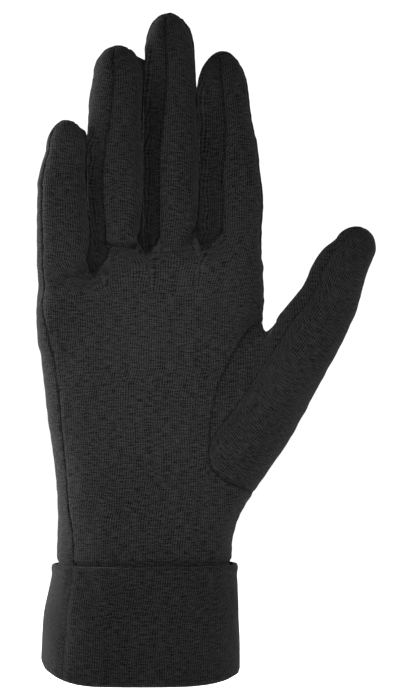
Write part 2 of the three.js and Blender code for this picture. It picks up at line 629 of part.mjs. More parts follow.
// A panel of the hand, palm or back, with the same side of its four fingers
function handPanel(face) {
  const surface = new Surface();
  const inset = SEAM_GAP / 2;
  const columns = panelColumns(face, inset);
  const heights = columns.map(columnHeights);
  const body = heights[0].map((_, row) => columns.map((column, place) =>
    onSkin(columnRay(column, heights[place][row]))));
  const inHole = (row, place) => row >= HOLE_START && row < HOLE_END
    && (columns[place].part === 'thumb' || columns[place + 1].part === 'thumb');
  surface.grid(body, (row, place) => !inHole(row, place));

  const root = [];
  for (let row = 0; row <= ROWS.root; row += 1) {
    root.push(columns.map((column) => onSkin(mixRay(columnRay(column, SHELF), column.top, row / ROWS.root))));
  }
  surface.grid(root);

  const measures = fingerMeasures();
  fingers.forEach((finger, index) => {
    surface.grid(measures.map((measure) =>
      fingerAngles(index, face, measure, inset).map((angle) => onSkin(fingerRay(finger, measure, angle)))));
    surface.grid(capRows(index, face, inset));
  });
  return surface.wall(CLOTH);
}

// A side strip: down the thumb side of one finger, round the fork and up the little side of the next
function sideStrip(fork) {
  const surface = new Surface();
  const measures = fingerMeasures();
  measures[measures.length - 1] -= SEAM_GAP / (fingers[fork].cap * Math.PI / 2);
  const steps = [...Array(COLUMNS.strip + 1)].map((_, step) => step / COLUMNS.strip);
  const rows = [];
  [...measures].reverse().forEach((measure) => {
    const angles = sideAngles(fork, 'thumb', measure, SEAM_GAP);
    rows.push(steps.map((step) => fingerRay(fingers[fork], measure, -mix(angles.front, angles.back, step))));
  });
  for (let step = 1; step < COLUMNS.fork; step += 1) {
    rows.push(steps.map((across) => forkRay(fork, 2 * step / COLUMNS.fork - 1, across, SEAM_GAP)));
  }
  measures.forEach((measure) => {
    const angles = sideAngles(fork + 1, 'little', measure, SEAM_GAP);
    rows.push(steps.map((step) => fingerRay(fingers[fork + 1], measure, mix(angles.front, angles.back, step))));
  });
  surface.grid(rows.reverse().map((row) => row.map(onSkin)));
  return surface.wall(CLOTH);
}

// Turns around the thumb of the corners of its seam loop, degrees from the side that faces the index finger
const THUMB_TURNS = { frontTop: 25, frontBottom: 98, backBottom: 262, backTop: 335 };
const CROTCH_DEPTH = 9; // how far the rays at the crotch start below it
const THUMB_FULL = 0.42; // share of the thumb's length where its rays all leave its own middle line
const LOOP_PROBE = 0.02; // share of the way from the seam loop at which a column's stretch is measured

function thumbRay(share, turn) {
  const climb = clamp((share - THUMB_DOME) / (1 - THUMB_DOME), 0, 1) * Math.PI / 2;
  const origin = thumbAxis(Math.min(share, THUMB_DOME));
  const flat = thumbOut.clone().multiplyScalar(-Math.cos(turn * RADIANS))
    .addScaledVector(new THREE.Vector3(0, -1, 0), Math.sin(turn * RADIANS));
  const direction = flat.multiplyScalar(Math.cos(climb)).addScaledVector(thumbUp, Math.sin(climb));
  return { origin, direction };
}

// The seam loop's rays with the turn around the thumb that each one meets
function thumbLoop() {
  const loop = [];
  const { front, back } = OUTER_SIDES.thumb.columns;
  const side = front + back;
  const turns = THUMB_TURNS;
  const addCurve = (part, from, to, turnFrom, turnTo) => {
    for (let row = 0; row < ROWS.hole; row += 1) {
      const share = row / ROWS.hole;
      const ray = bodyRay(part, part === 'front' ? 1 : 0, mix(from, to, share));
      loop.push({ ray, turn: mix(turnFrom, turnTo, share) });
    }
  };
  const addEdge = (height, start, end, turnFrom, turnTo) => {
    for (let step = 0; step < side; step += 1) {
      const share = step / side;
      const angle = mix(start, end, share);
      const ray = bodyRay('thumb', angle / 180, height(angle));
      loop.push({ ray, turn: mix(turnFrom, turnTo, share) });
    }
  };
  addCurve('front', holeTop(0), holeBottom(0), turns.frontTop, turns.frontBottom);
  addEdge(holeBottom, 0, 180, turns.frontBottom, turns.backBottom);
  addCurve('back', holeBottom(180), holeTop(180), turns.backBottom, turns.backTop);
  addEdge(holeTop, 180, 0, turns.backTop, turns.frontTop + 360);
  return loop;
}

// The thumb piece, from its seam loop to its closed tip
function thumb() {
  const surface = new Surface();
  const loop = thumbLoop();
  const around = [...loop, loop[0]];
  const rows = [];
  for (let row = 0; row < ROWS.thumbRoot; row += 1) {
    rows.push(around.map(({ ray, turn }) => {
      const start = row > 0 ? 0 : clearShare(ray, turn);
      return onSkin(thumbRootRay(ray, turn, mix(start, 1, row / ROWS.thumbRoot)));
    }));
  }
  const shares = [];
  for (let row = 0; row <= ROWS.thumb; row += 1) shares.push(mix(THUMB_FULL, THUMB_DOME, row / ROWS.thumb));
  for (let row = 1; row <= ROWS.dome; row += 1) shares.push(mix(THUMB_DOME, 1, row / ROWS.dome));
  shares.forEach((share) => rows.push(around.map(({ turn }) => onSkin(thumbRay(share, turn)))));
  surface.grid(rows);
  return surface.wall(CLOTH);
}

// A ray between the seam loop and the thumb's own sections, kept under the crotch between thumb and hand
function thumbRootRay(ray, turn, share) {
  const mixed = mixRay(ray, thumbRay(THUMB_FULL, turn), share);
  mixed.origin.z -= CROTCH_DEPTH * Math.max(Math.cos(turn * RADIANS), 0) * Math.sin(Math.PI * share);
  return mixed;
}

// How far along its column the thumb has left the seam loop by the seam's clear space
function clearShare(ray, turn) {
  const moved = onSkin(thumbRootRay(ray, turn, LOOP_PROBE)).distanceTo(onSkin(ray));
  const ease = 1 + TURN_CLEARANCE * Math.max(Math.cos(turn * RADIANS), 0);
  return LOOP_PROBE * ease * SEAM_GAP / moved;
}

// The cuff's outline from its top edge down its back, round the hem fold that turns up inside the sleeve, and
// up its face: out from the sleeve, up as a share of the cuff's height, and lift above that
const SLEEVE_INSIDE = -CLOTH - SEAM_GAP;
const CUFF_FACE = SEAM_GAP + CUFF_CLOTH;
const HEM_TOP = HEM_TUCK - SEAM_GAP;
const EDGE_ROUNDING = 0.4 * CUFF_CLOTH;
const CUFF_PROFILE = [
  { out: SEAM_GAP, up: 1, lift: 0 },
  { out: SEAM_GAP, up: 0.5, lift: 0 },
  { out: SEAM_GAP, up: 0, lift: HEM_TOP },
  { out: SLEEVE_INSIDE, up: 0, lift: HEM_TOP },
  { out: SLEEVE_INSIDE, up: 0, lift: HEM_LIP },
  { out: SLEEVE_INSIDE - CLOTH, up: 0, lift: HEM_LIP },
  { out: SLEEVE_INSIDE - CLOTH, up: 0, lift: CUFF_CLOTH },
  { out: SLEEVE_INSIDE, up: 0, lift: EDGE_ROUNDING / 2 },
  { out: SEAM_GAP, up: 0, lift: 0 },
  { out: CUFF_FACE, up: 0, lift: 2 * EDGE_ROUNDING },
  { out: CUFF_FACE, up: 0.5, lift: 0 },
  { out: CUFF_FACE, up: 1, lift: -EDGE_ROUNDING },
  { out: CUFF_FACE - EDGE_ROUNDING, up: 1, lift: 0 },
];

// The cuff: a doubled band round the sleeve with its hem turned up inside
function cuff() {
  const columns = handColumns();
  const profile = CUFF_PROFILE;
  const at = (column, z, out) => {
    const point = onSkin(columnRay(column, z));
    return point.addScaledVector(skinNormal(point).setZ(0).normalize(), out);
  };
  const positions = columns.flatMap((column) => profile.map(({ out, up, lift }) =>
    at(column, mix(hemRise(column), CUFF_HEIGHT, up) + lift, out)));
  const faces = [];
  columns.forEach((_, place) => profile.forEach((__, corner) => {
    const next = (place + 1) % columns.length;
    const after = (corner + 1) % profile.length;
    const [a, b] = [place * profile.length + corner, place * profile.length + after];
    const [c, d] = [next * profile.length + after, next * profile.length + corner];
    faces.push([a, c, b], [a, d, c]);
  }));
  return makeGeometry(positions, faces);
}

const glove = new THREE.Group();
function addPiece(name, geometry) {
  const material = new THREE.MeshStandardMaterial({ color: CHARCOAL, roughness: 0.95, metalness: 0 });
  const mesh = new THREE.Mesh(geometry, material);
  mesh.name = name;
  glove.add(mesh);
}

addPiece('palm_panel', handPanel('front'));
addPiece('back_panel', handPanel('back'));
FORKS.forEach((_, fork) => addPiece(`side_strip_${FINGERS[fork].name}_${FINGERS[fork + 1].name}`, sideStrip(fork)));
addPiece('thumb', thumb());
addPiece('cuff', cuff());

export default glove;
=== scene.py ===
"""A knitted right-hand glove liner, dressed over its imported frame.

The hand's outer skin is a soft union of a hand body, four fingers and a thumb. Every cut piece of jersey is a grid
of rays cast from inside the hand on to that skin, given folds, puckers and seam grooves, and thickened to a wall.
Shapes are worked out in millimetres and put into the meshes in metres.
"""

from __future__ import annotations

import logging
from dataclasses import dataclass, field
from enum import Enum
from typing import Callable

import bpy
import numpy as np
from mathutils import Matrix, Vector

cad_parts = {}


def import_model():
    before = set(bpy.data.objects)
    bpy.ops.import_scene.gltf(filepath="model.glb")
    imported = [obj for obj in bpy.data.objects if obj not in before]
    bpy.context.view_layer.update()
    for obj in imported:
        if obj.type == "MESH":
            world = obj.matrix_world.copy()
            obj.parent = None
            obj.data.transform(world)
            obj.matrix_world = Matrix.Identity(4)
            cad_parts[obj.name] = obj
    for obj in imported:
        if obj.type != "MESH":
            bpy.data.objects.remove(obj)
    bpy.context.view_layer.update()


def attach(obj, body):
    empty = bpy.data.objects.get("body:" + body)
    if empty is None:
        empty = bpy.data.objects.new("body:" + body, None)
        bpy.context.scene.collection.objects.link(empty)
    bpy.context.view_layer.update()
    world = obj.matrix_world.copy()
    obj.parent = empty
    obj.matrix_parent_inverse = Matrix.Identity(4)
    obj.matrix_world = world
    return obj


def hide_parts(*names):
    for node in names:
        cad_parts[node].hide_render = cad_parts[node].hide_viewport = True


log = logging.getLogger("glove")
MM = 0.001
FAR = 9.0  # a seam distance in millimetres at which no seam shows
Array = np.ndarray
Relief = Callable[[Array, Array, Array], Array]
Stretch = tuple[float, float, float]
Span = tuple[float, float, float, float]


class Face(Enum):
    """The two faces of the hand."""

    FRONT = "front"
    BACK = "back"


class Side(Enum):
    """The two sides of a finger or of the hand."""

    LITTLE = "little"
    THUMB = "thumb"


# Sizes


@dataclass(frozen=True)
class Finger:
    """Sizes of one finger, lengths measured from its fork, with its section table."""

    name: str
    length: float
    breadth: float
    depth: float
    forward: float
    cap: float
    curl: float
    turn: float
    at: tuple[float, ...]
    shift: tuple[float, ...]
    breadths: tuple[float, ...]
    depths: tuple[float, ...]


@dataclass(frozen=True)
class Fold:
    """A soft valley pressed into the skin along a line in the plane of the palm."""

    from_x: float
    from_z: float
    to_x: float
    to_z: float
    width: float
    depth: float
    face: int


@dataclass(frozen=True)
class Sizes:
    """Named sizes of the glove in millimetres, angles in degrees."""

    cloth: float = 1.0
    cuff_cloth: float = 1.4
    seam_gap: float = 0.3
    cuff_height: float = 43.8
    wrist_length: float = 26.3
    palm_length: float = 82.0
    hem_breadth: float = 71.0
    hem_depth: float = 47.0
    wrist_breadth: float = 65.5
    wrist_depth: float = 40.0
    palm_depth: float = 30.0
    palm_shift: float = 3.9
    finger_gap: float = 0.7
    hem_tuck: float = 3.2
    hem_lip: float = 8.0
    hem_rise_little: float = 7.5
    hem_rise_thumb: float = 3.4
    thumb_length: float = 75.0
    thumb_breadth: float = 23.5
    thumb_depth: float = 21.0
    thumb_lean: float = 28.9
    thumb_mound: float = 64.0
    hole_drop: float = 17.3
    hole_lift: float = 12.5
    hole_bow: float = 2.6
    fork_rises: tuple[float, ...] = (0.0, 0.1, 0.135)
    body_roundness: float = 2.3
    body_top_rounding: float = 9.0
    finger_blend: float = 3.0
    thumb_blend: float = 7.0
    finger_root: float = 22.0
    arm_rise: float = 5.0
    fork_depth: float = 12.0
    crotch_depth: float = 9.0
    edge_share: float = 0.85
    strip_end: float = 1.8
    thumb_full: float = 0.42

    @property
    def heel(self) -> float:
        """Height of the heel of the hand."""
        return self.cuff_height + self.wrist_length

    @property
    def palm_top(self) -> float:
        """Height of the lowest fork."""
        return self.heel + self.palm_length

    @property
    def shelf(self) -> float:
        """Height of the last row of the hand body under the fingers."""
        return self.palm_top - 0.1 * self.palm_length

    @property
    def crotch(self) -> float:
        """Height of the crotch between thumb and hand."""
        return self.heel + 0.784 * self.palm_length


SIZES = Sizes()

FINGERS = (
    Finger("little", 57.6, 18.8, 15.5, 2.2, 11.5, 4.5, 0,
           at=(0.0, 0.23, 0.36, 0.49, 0.62, 0.8), shift=(0.06, 0.05, 0.018, 0.006, 0.01, 0.09),
           breadths=(1.13, 1.1, 1.035, 1.0, 0.96, 0.82), depths=(1.0, 1.0, 1.0, 0.98, 0.96, 0.88)),
    Finger("ring", 81.2, 20.4, 17.0, 0.9, 13.0, 5.5, 2,
           at=(0.0, 0.11, 0.3, 0.53, 0.75, 0.83), shift=(0.067, 0.053, 0.002, -0.026, 0.0, 0.04),
           breadths=(0.86, 0.885, 0.975, 1.005, 0.985, 0.955), depths=(1.0, 1.0, 1.0, 1.0, 0.95, 0.88)),
    Finger("middle", 88.0, 20.9, 17.6, 0.0, 15.0, 5.5, 0,
           at=(0.0, 0.2, 0.42, 0.64, 0.83), shift=(-0.018, -0.013, -0.03, -0.053, -0.07),
           breadths=(0.95, 0.99, 0.98, 0.935, 0.89), depths=(1.0, 1.0, 1.0, 0.95, 0.88)),
    Finger("index", 72.5, 22.8, 17.6, -0.7, 17.0, 4.5, -8,
           at=(0.0, 0.23, 0.49, 0.64, 0.78), shift=(-0.04, -0.015, -0.069, -0.135, -0.19),
           breadths=(0.98, 0.99, 0.925, 0.873, 0.85), depths=(1.04, 1.0, 0.98, 0.94, 0.88)),
)

# Main folds, the ones that the solids carry too
FOLDS = (
    Fold(-4, 128, 14, 112, 15, 0.9, -1),
    Fold(-38, 146, -19, 151, 5, 1.1, -1),
    Fold(-14, 163, -2, 162, 4, 1.2, -1),
    Fold(2, 163, 8, 156, 4, 1.0, -1),
    Fold(17, 162, 28, 165, 4, 1.0, -1),
    Fold(46, 132, 26, 124, 6, 1.0, -1),
    Fold(-38, 130, -16, 133, 6, 0.8, -1),
    Fold(-30, 56, 4, 50, 5, 0.8, -1),
    Fold(-22, 146, 22, 150, 7, 0.8, 1),
    Fold(-26, 54, 20, 58, 6, 0.9, 1),
)

# Finer creases that only the cloth shows: the curved crease under the ring finger, pleats at the forks and
# the drag lines of the palm. A negative depth is a small roll.
CREASES = (
    Fold(-13.5, 163.6, -10.5, 161.8, 1.0, 1.7, -1),
    Fold(-10.5, 161.8, -6.5, 161.2, 1.0, 2.1, -1),
    Fold(-6.5, 161.2, -1.8, 162.0, 1.1, 1.3, -1),
    Fold(-12.5, 165.2, -3.5, 164.0, 2.0, -1.6, -1),
    Fold(2.2, 163.0, 5.8, 158.4, 1.0, 0.4, -1),
    Fold(4.6, 163.6, 7.6, 159.6, 1.0, 0.25, -1),
    Fold(21.2, 168.0, 18.4, 162.8, 1.1, 1.3, -1),
    Fold(24.0, 163.2, 27.6, 161.6, 1.0, 0.35, -1),
    Fold(23.6, 165.2, 28.4, 164.6, 1.0, 0.3, -1),
    Fold(-15.8, 152.4, -12.2, 149.4, 1.2, 0.4, -1),
    Fold(-30.5, 147.4, -25.5, 149.6, 2.0, 1.0, -1),
    Fold(-25.5, 149.6, -19.5, 151.6, 1.8, 0.9, -1),
    Fold(-34.0, 143.2, -20.0, 147.6, 3.0, -0.5, -1),
    Fold(-32.0, 131.8, -24.0, 132.2, 2.4, 0.7, -1),
    Fold(28.0, 144.0, 44.0, 147.0, 2.2, 0.55, -1),
    Fold(16.0, 136.0, 42.0, 141.0, 2.2, 0.5, -1),
    Fold(6.0, 128.0, 34.0, 134.5, 2.4, 0.45, -1),
    Fold(-10.0, 141.0, 16.0, 147.0, 2.6, 0.45, -1),
    Fold(46.0, 134.0, 36.0, 126.0, 2.6, 0.5, -1),
    Fold(52.0, 122.0, 60.0, 118.0, 3.2, 0.4, -1),
    Fold(56.0, 112.0, 66.0, 106.0, 3.6, 0.3, -1),
    Fold(-4.0, 43.5, 20.0, 45.5, 3.0, 0.25, -1),
)


class Curve:
    """A smooth curve through one column of a table, level beyond its ends.

    Between two rows it is the cubic that meets both values with the slopes of the chords through their neighbours.
    """

    def __init__(self, at: tuple[float, ...], value: tuple[float, ...]) -> None:
        """Works out the slopes.

        Args:
            at: the table's places, climbing.
            value: the value at each place.
        """
        self.at = np.asarray(at, float)
        self.value = np.asarray(value, float)
        rows = np.arange(len(self.at))
        low = np.maximum(rows - 1, 0)
        high = np.minimum(rows + 1, len(rows) - 1)
        self.slope = (self.value[high] - self.value[low]) / (self.at[high] - self.at[low])

    def __call__(self, place: Array | float) -> Array:
        """The curve's value at places.

        Args:
            place: places along the table.

        Returns:
            One value for each place.
        """
        place = np.clip(place, self.at[0], self.at[-1])
        row = np.clip(np.searchsorted(self.at, place, side="right") - 1, 0, len(self.at) - 2)
        span = self.at[row + 1] - self.at[row]
        t = (place - self.at[row]) / span
        bend = t * t * (3 - 2 * t)
        lift = span * t * (1 - t) * ((1 - t) * self.slope[row] - t * self.slope[row + 1])
        return self.value[row] + (self.value[row + 1] - self.value[row]) * bend + lift


def unit(vectors: Array) -> Array:
    """Vectors of length one in the same directions."""
    return vectors / np.maximum(np.linalg.norm(vectors, axis=-1, keepdims=True), 1e-12)


def mix(start: Array | float, end: Array | float, share: Array | float) -> Array | float:
    """The value a share of the way from start to end."""
    return start + (end - start) * share


def stack(x: Array | float, y: Array | float, z: Array | float) -> Array:
    """Points or vectors from their three coordinates, spread to one shape."""
    return np.stack(np.broadcast_arrays(x, y, z), axis=-1).astype(float)


def spread(ray: tuple[Array, Array], shape: tuple[int, ...]) -> tuple[Array, Array]:
    """Rays repeated to a grid's shape."""
    return np.broadcast_to(ray[0], shape), np.broadcast_to(ray[1], shape)


def interpolate(places: Array, at: Array, points: Array) -> Array:
    """Points at places along a line whose own points stand at the given places."""
    return np.stack([np.interp(places, at, points[:, axis]) for axis in range(3)], axis=-1)


def round_distance(offsets: list[Array], halves: list[Array | float], roundness: float) -> Array:
    """Distance to a rounded form: its radius less one, over the length of the radius's gradient.

    Args:
        offsets: the point's offset along each axis of the form.
        halves: the form's half size along each axis.
        roundness: 2 for an ellipse, more for a boxier form.

    Returns:
        Signed distances, negative inside.
    """
    total: Array | float = 0.0
    steepness: Array | float = 0.0
    for offset, half in zip(offsets, halves):
        share = np.abs(offset) / half
        total = total + share**roundness
        steepness = steepness + (share ** (roundness - 1) / half) ** 2
    radius = np.maximum(total, 1e-9) ** (1 / roundness)
    gradient = radius ** (1 - roundness) * np.sqrt(steepness)
    smallest = np.minimum.reduce([np.broadcast_to(half, radius.shape) for half in halves])
    return np.where(radius < 0.01, (radius - 1) * smallest, (radius - 1) / np.maximum(gradient, 1e-9))


def soft_union(first: Array, second: Array, width: float) -> Array:
    """The smaller of two distances, less a rounded fillet of the given width where they are alike."""
    overlap = np.maximum(width - np.abs(first - second), 0) / width
    return np.minimum(first, second) - overlap * overlap * width / 4


class Waves:
    """Soft irregular relief: a sum of sine waves in fixed seeded directions, about -1 to 1."""

    def __init__(self, wavelength: float, seed: int, count: int = 9) -> None:
        """Draws the waves' directions and phases.

        Args:
            wavelength: the middle wavelength in millimetres.
            seed: seed of the fixed draw.
            count: how many waves are added up.
        """
        draw = np.random.default_rng(seed)
        lengths = wavelength * draw.uniform(0.7, 1.5, (count, 1))
        self.numbers = unit(draw.normal(size=(count, 3))) * 2 * np.pi / lengths
        self.phases = draw.uniform(0, 2 * np.pi, count)

    def __call__(self, points: Array) -> Array:
        """The relief at points: the sum of the sines over the square root of half their number."""
        return np.sin(points @ self.numbers.T + self.phases).sum(axis=-1) / np.sqrt(len(self.phases) / 2) / 2


# The hand's form


class HandForm:
    """The outer skin of the hand as a distance, and the rays that the pieces are cast with."""

    def __init__(self, sizes: Sizes) -> None:
        """Places fingers, forks, body and thumb from the named sizes.

        Args:
            sizes: the glove's sizes.
        """
        self.s = sizes
        heel, palm, cuff, wrist = sizes.heel, sizes.palm_length, sizes.cuff_height, sizes.wrist_length
        broad = sum(finger.breadth for finger in FINGERS) + 3 * sizes.finger_gap
        self.palm_breadth = broad
        heights = (0, 0.52 * cuff, 0.95 * cuff, cuff + 0.35 * wrist, cuff + 0.7 * wrist, heel + 0.06 * palm,
                   heel + 0.34 * palm, heel + 0.61 * palm, heel + 0.88 * palm, heel + 1.15 * palm)
        hem, narrow = sizes.hem_breadth, sizes.wrist_breadth
        self.body_breadth = Curve(heights, (hem, 0.966 * hem, 1.008 * narrow, narrow, 1.01 * narrow, 0.825 * broad,
                                            0.905 * broad, 0.962 * broad, 0.982 * broad, 0.97 * broad))
        deep, thin, flat = sizes.hem_depth, sizes.wrist_depth, sizes.palm_depth
        self.body_depth = Curve(heights, (deep, 0.96 * deep, 1.05 * thin, thin, 0.97 * thin, 1.2 * flat,
                                          1.07 * flat, 0.98 * flat, 0.88 * flat, 0.8 * flat))
        self.body_shift = Curve(heights, tuple(
            share * sizes.palm_shift for share in (0, 0.06, 0.38, 0.4, 0.55, 0.87, 1, 1, 1, 1)))
        self.side_seam = Curve((0, cuff, heel, heel + 0.3 * palm, heel + 0.58 * palm, heel + 0.83 * palm,
                                heel + palm), (0.2, 0.2, 0.26, 0.235, 0.225, 0.3, 0.32))
        self.seam_angles = {
            (Side.LITTLE, Face.FRONT): Curve((0, 0.2, 0.4, 0.6, 0.8, 1, 2), (30, 30, 30, 20, 9, 8, 16)),
            (Side.LITTLE, Face.BACK): Curve((0, 0.2, 0.4, 0.6, 0.8, 1, 2), (112, 108, 104, 98, 92, 88, 68)),
            (Side.THUMB, Face.FRONT): Curve((0, 0.2, 0.4, 0.6, 0.8, 1, 2), (60, 76, 84, 84, 82, 78, 62)),
            (Side.THUMB, Face.BACK): Curve((0, 0.2, 0.4, 0.6, 0.8, 1, 2), (124, 138, 146, 146, 140, 132, 104)),
        }
        self.outer = {Side.LITTLE: (24.0, 58.0, 122.0), Side.THUMB: (24.0, 76.0, 122.0)}
        forks = [heel + palm + rise * palm for rise in sizes.fork_rises]
        self.little_fork = np.array([forks[max(index - 1, 0)] for index in range(4)])
        self.thumb_fork = np.array([forks[min(index, 2)] for index in range(4)])
        self.base = (self.little_fork + self.thumb_fork) / 2
        self.tip = self.base + np.array([finger.length for finger in FINGERS])
        self.dome = self.tip - np.array([finger.cap for finger in FINGERS])
        self.places = []
        reach = sizes.palm_shift - broad / 2
        for finger in FINGERS:
            self.places.append(reach + finger.breadth / 2)
            reach += finger.breadth + sizes.finger_gap
        edges = [self.places[index] + FINGERS[index].breadth / 2 + sizes.finger_gap / 2 for index in range(3)]
        self.fork_line = Curve(tuple(edges), tuple(forks))
        self.curves = [{"shift": Curve(f.at, f.shift), "breadth": Curve(f.at, f.breadths),
                        "depth": Curve(f.at, f.depths)} for f in FINGERS]
        self._place_thumb()

    def _place_thumb(self) -> None:
        """Sets the thumb's own frame, up along it and out across it, and its section curves."""
        s = self.s
        lean = np.radians(s.thumb_lean)
        self.thumb_up = np.array([np.sin(lean), 0, np.cos(lean)])
        self.thumb_out = np.array([self.thumb_up[2], 0, -self.thumb_up[0]])
        at = (-0.4, 0.0, 0.36, 0.6, 0.73, 0.81, 0.89)
        shift = (0.1, 0.128, 0.088, 0.14, 0.075, 0.062, 0.09)
        self.thumb_shift = Curve(at, shift)
        self.thumb_breadth = Curve(at, (1.06, 1.085, 1.13, 0.95, 0.88, 0.785, 0.66))
        self.thumb_depth = Curve(at, (1.5, 1.52, 1.16, 0.98, 0.93, 0.87, 0.76))
        self.thumb_forward = Curve(at, (0.03, 0.05, 0.09, 0.14, 0.165, 0.18, 0.19))
        self.thumb_dome = at[-1]
        root = np.array([s.palm_shift + 0.52 * self.palm_breadth, 0, s.heel + 0.395 * s.palm_length])
        self.thumb_root = root - self.thumb_out * shift[1] * s.thumb_breadth

    def finger_section(self, index: int, z: Array) -> tuple[Array, Array, Array, Array]:
        """Centre x and y and the half sizes of a finger at a height.

        Args:
            index: the finger, 0 the little one.
            z: heights.

        Returns:
            Centre x, centre y, half breadth and half depth.
        """
        finger, curve = FINGERS[index], self.curves[index]
        share = (np.minimum(z, self.dome[index]) - self.base[index]) / finger.length
        bent = np.clip(share, 0, 1)
        return (self.places[index] + curve["shift"](share) * finger.breadth,
                -finger.forward - finger.curl * bent * bent,
                curve["breadth"](share) * finger.breadth / 2, curve["depth"](share) * finger.depth / 2)

    def finger_distance(self, index: int, p: Array) -> Array:
        """Distance to one finger: an elliptic column with a domed tip and a rounded root.

        Args:
            index: the finger, 0 the little one.
            p: points.

        Returns:
            Signed distances, negative inside.
        """
        x, y, half_x, half_y = self.finger_section(index, p[..., 2])
        rise = np.maximum(p[..., 2] - self.dome[index], 0)
        sink = np.maximum(self.base[index] - self.s.finger_root - p[..., 2], 0)
        return round_distance([p[..., 0] - x, p[..., 1] - y, rise + sink],
                              [half_x, half_y, FINGERS[index].cap], 2)

    def body_distance(self, p: Array) -> Array:
        """Distance to the hand body: a boxy oval column that closes softly between the fingers.

        Args:
            p: points.

        Returns:
            Signed distances, negative inside.
        """
        x, half_x, half_y = self.body_section(p[..., 2])
        rounding = self.s.body_top_rounding
        rise = np.maximum(p[..., 2] - (self.fork_line(p[..., 0]) - rounding), 0)
        return round_distance([p[..., 0] - x, p[..., 1], rise], [half_x, half_y, rounding], self.s.body_roundness)

    def body_section(self, z: Array) -> tuple[Array, Array, Array]:
        """Centre and half sizes of the hand body at a height."""
        return self.body_shift(z), self.body_breadth(z) / 2, self.body_depth(z) / 2

    def thumb_section(self, share: Array) -> tuple[Array, Array, Array, Array]:
        """Offset out and forward and the half sizes of the thumb at a share of its length.

        Args:
            share: shares of the thumb's length, 0 at its root.

        Returns:
            Offset out, offset forward, half breadth and half depth.
        """
        s = self.s
        return (self.thumb_shift(share) * s.thumb_breadth, -self.thumb_forward(share) * s.thumb_length,
                self.thumb_breadth(share) * s.thumb_breadth / 2, self.thumb_depth(share) * s.thumb_depth / 2)

    def thumb_distance(self, p: Array) -> Array:
        """Distance to the thumb: an elliptic column that leans out, with a domed tip and a long mound.

        Args:
            p: points.

        Returns:
            Signed distances, negative inside.
        """
        s = self.s
        offset = p - self.thumb_root
        up = offset @ self.thumb_up
        out, forward, half_x, half_y = self.thumb_section(up / s.thumb_length)
        dome_length = (1 - self.thumb_dome) * s.thumb_length
        rise = np.maximum(up - self.thumb_dome * s.thumb_length, 0)
        sink = np.maximum(-up, 0)
        end = np.where(rise > 0, dome_length, s.thumb_mound)
        return round_distance([offset @ self.thumb_out - out, p[..., 1] - forward, rise + sink],
                              [half_x, half_y, end], 2)

    @staticmethod
    def fold_depth(p: Array, folds: tuple[Fold, ...]) -> Array:
        """How deep folds press in: each a bell across its line, fading towards the plane between the faces.

        Args:
            p: points.
            folds: the folds.

        Returns:
            One depth for each point.
        """
        deep = np.zeros(p.shape[:-1])
        for fold in folds:
            run_x, run_z = fold.to_x - fold.from_x, fold.to_z - fold.from_z
            share = ((p[..., 0] - fold.from_x) * run_x + (p[..., 2] - fold.from_z) * run_z) / (run_x**2 + run_z**2)
            near = np.clip(share, 0, 1)
            away = np.hypot(p[..., 0] - fold.from_x - near * run_x, p[..., 2] - fold.from_z - near * run_z)
            rise = np.clip(p[..., 1] * fold.face / fold.width, 0, 1)
            deep += fold.depth * np.exp(-((away / fold.width) ** 2)) * rise
        return deep

    def distance(self, p: Array) -> Array:
        """Distance from the outer skin of the whole hand, negative inside.

        Args:
            p: points.

        Returns:
            Signed distances, the folds taken off.
        """
        nearest = np.minimum.reduce([self.finger_distance(index, p) for index in range(4)])
        whole = soft_union(self.body_distance(p), nearest, self.s.finger_blend)
        whole = soft_union(whole, self.thumb_distance(p), self.s.thumb_blend)
        return whole + self.fold_depth(p, FOLDS)

    def normal(self, p: Array) -> Array:
        """Outward directions of the skin at points, from the distance's slope along each axis.

        Args:
            p: points.

        Returns:
            Unit directions.
        """
        slopes = []
        for axis in range(3):
            step = np.zeros(3)
            step[axis] = 0.05
            slopes.append(self.distance(p + step) - self.distance(p - step))
        return unit(np.stack(slopes, axis=-1))

    def cast(self, origin: Array, direction: Array) -> Array:
        """Points where rays from inside the hand meet its skin, reached by shortened steps of the distance.

        Args:
            origin: the rays' starting points.
            direction: their unit directions.

        Returns:
            The points, in the rays' own shape.
        """
        shape = origin.shape
        point = origin.reshape(-1, 3).copy()
        way = direction.reshape(-1, 3)
        active = np.arange(len(point))
        for _ in range(60):
            inside = -self.distance(point[active])
            point[active] += 0.7 * inside[:, None] * way[active]
            active = active[np.abs(inside) > 2e-4]
            if not len(active):
                break
        return point.reshape(shape)

    def finger_ray(self, index: int, measure: Array, angle: Array) -> tuple[Array, Array]:
        """Rays around a finger: measure 0 to 1 climbs from the fork to the dome, 1 to 2 goes over the dome.

        Args:
            index: the finger, 0 the little one.
            measure: how far along the finger.
            angle: degrees from the palm side, positive towards the little finger.

        Returns:
            Origins and directions.
        """
        turn = np.radians(angle)
        foot = mix(self.thumb_fork[index], self.little_fork[index], (1 + np.sin(turn)) / 2) + self.s.arm_rise
        z = mix(foot, self.dome[index], np.minimum(measure, 1))
        climb = np.maximum(measure - 1, 0) * np.pi / 2
        x, y, _, _ = self.finger_section(index, z)
        return stack(x, y, z), stack(-np.sin(turn) * np.cos(climb), -np.cos(turn) * np.cos(climb), np.sin(climb))

    def clear_angle(self, index: int, measure: Array | float, space: Array | float) -> Array:
        """Degrees that a clear space takes up on a finger, more as it closes over its dome."""
        radius = FINGERS[index].breadth / 2 * np.cos(np.clip(np.asarray(measure) - 1, 0, 0.95) * np.pi / 2)
        return np.degrees(space / radius)

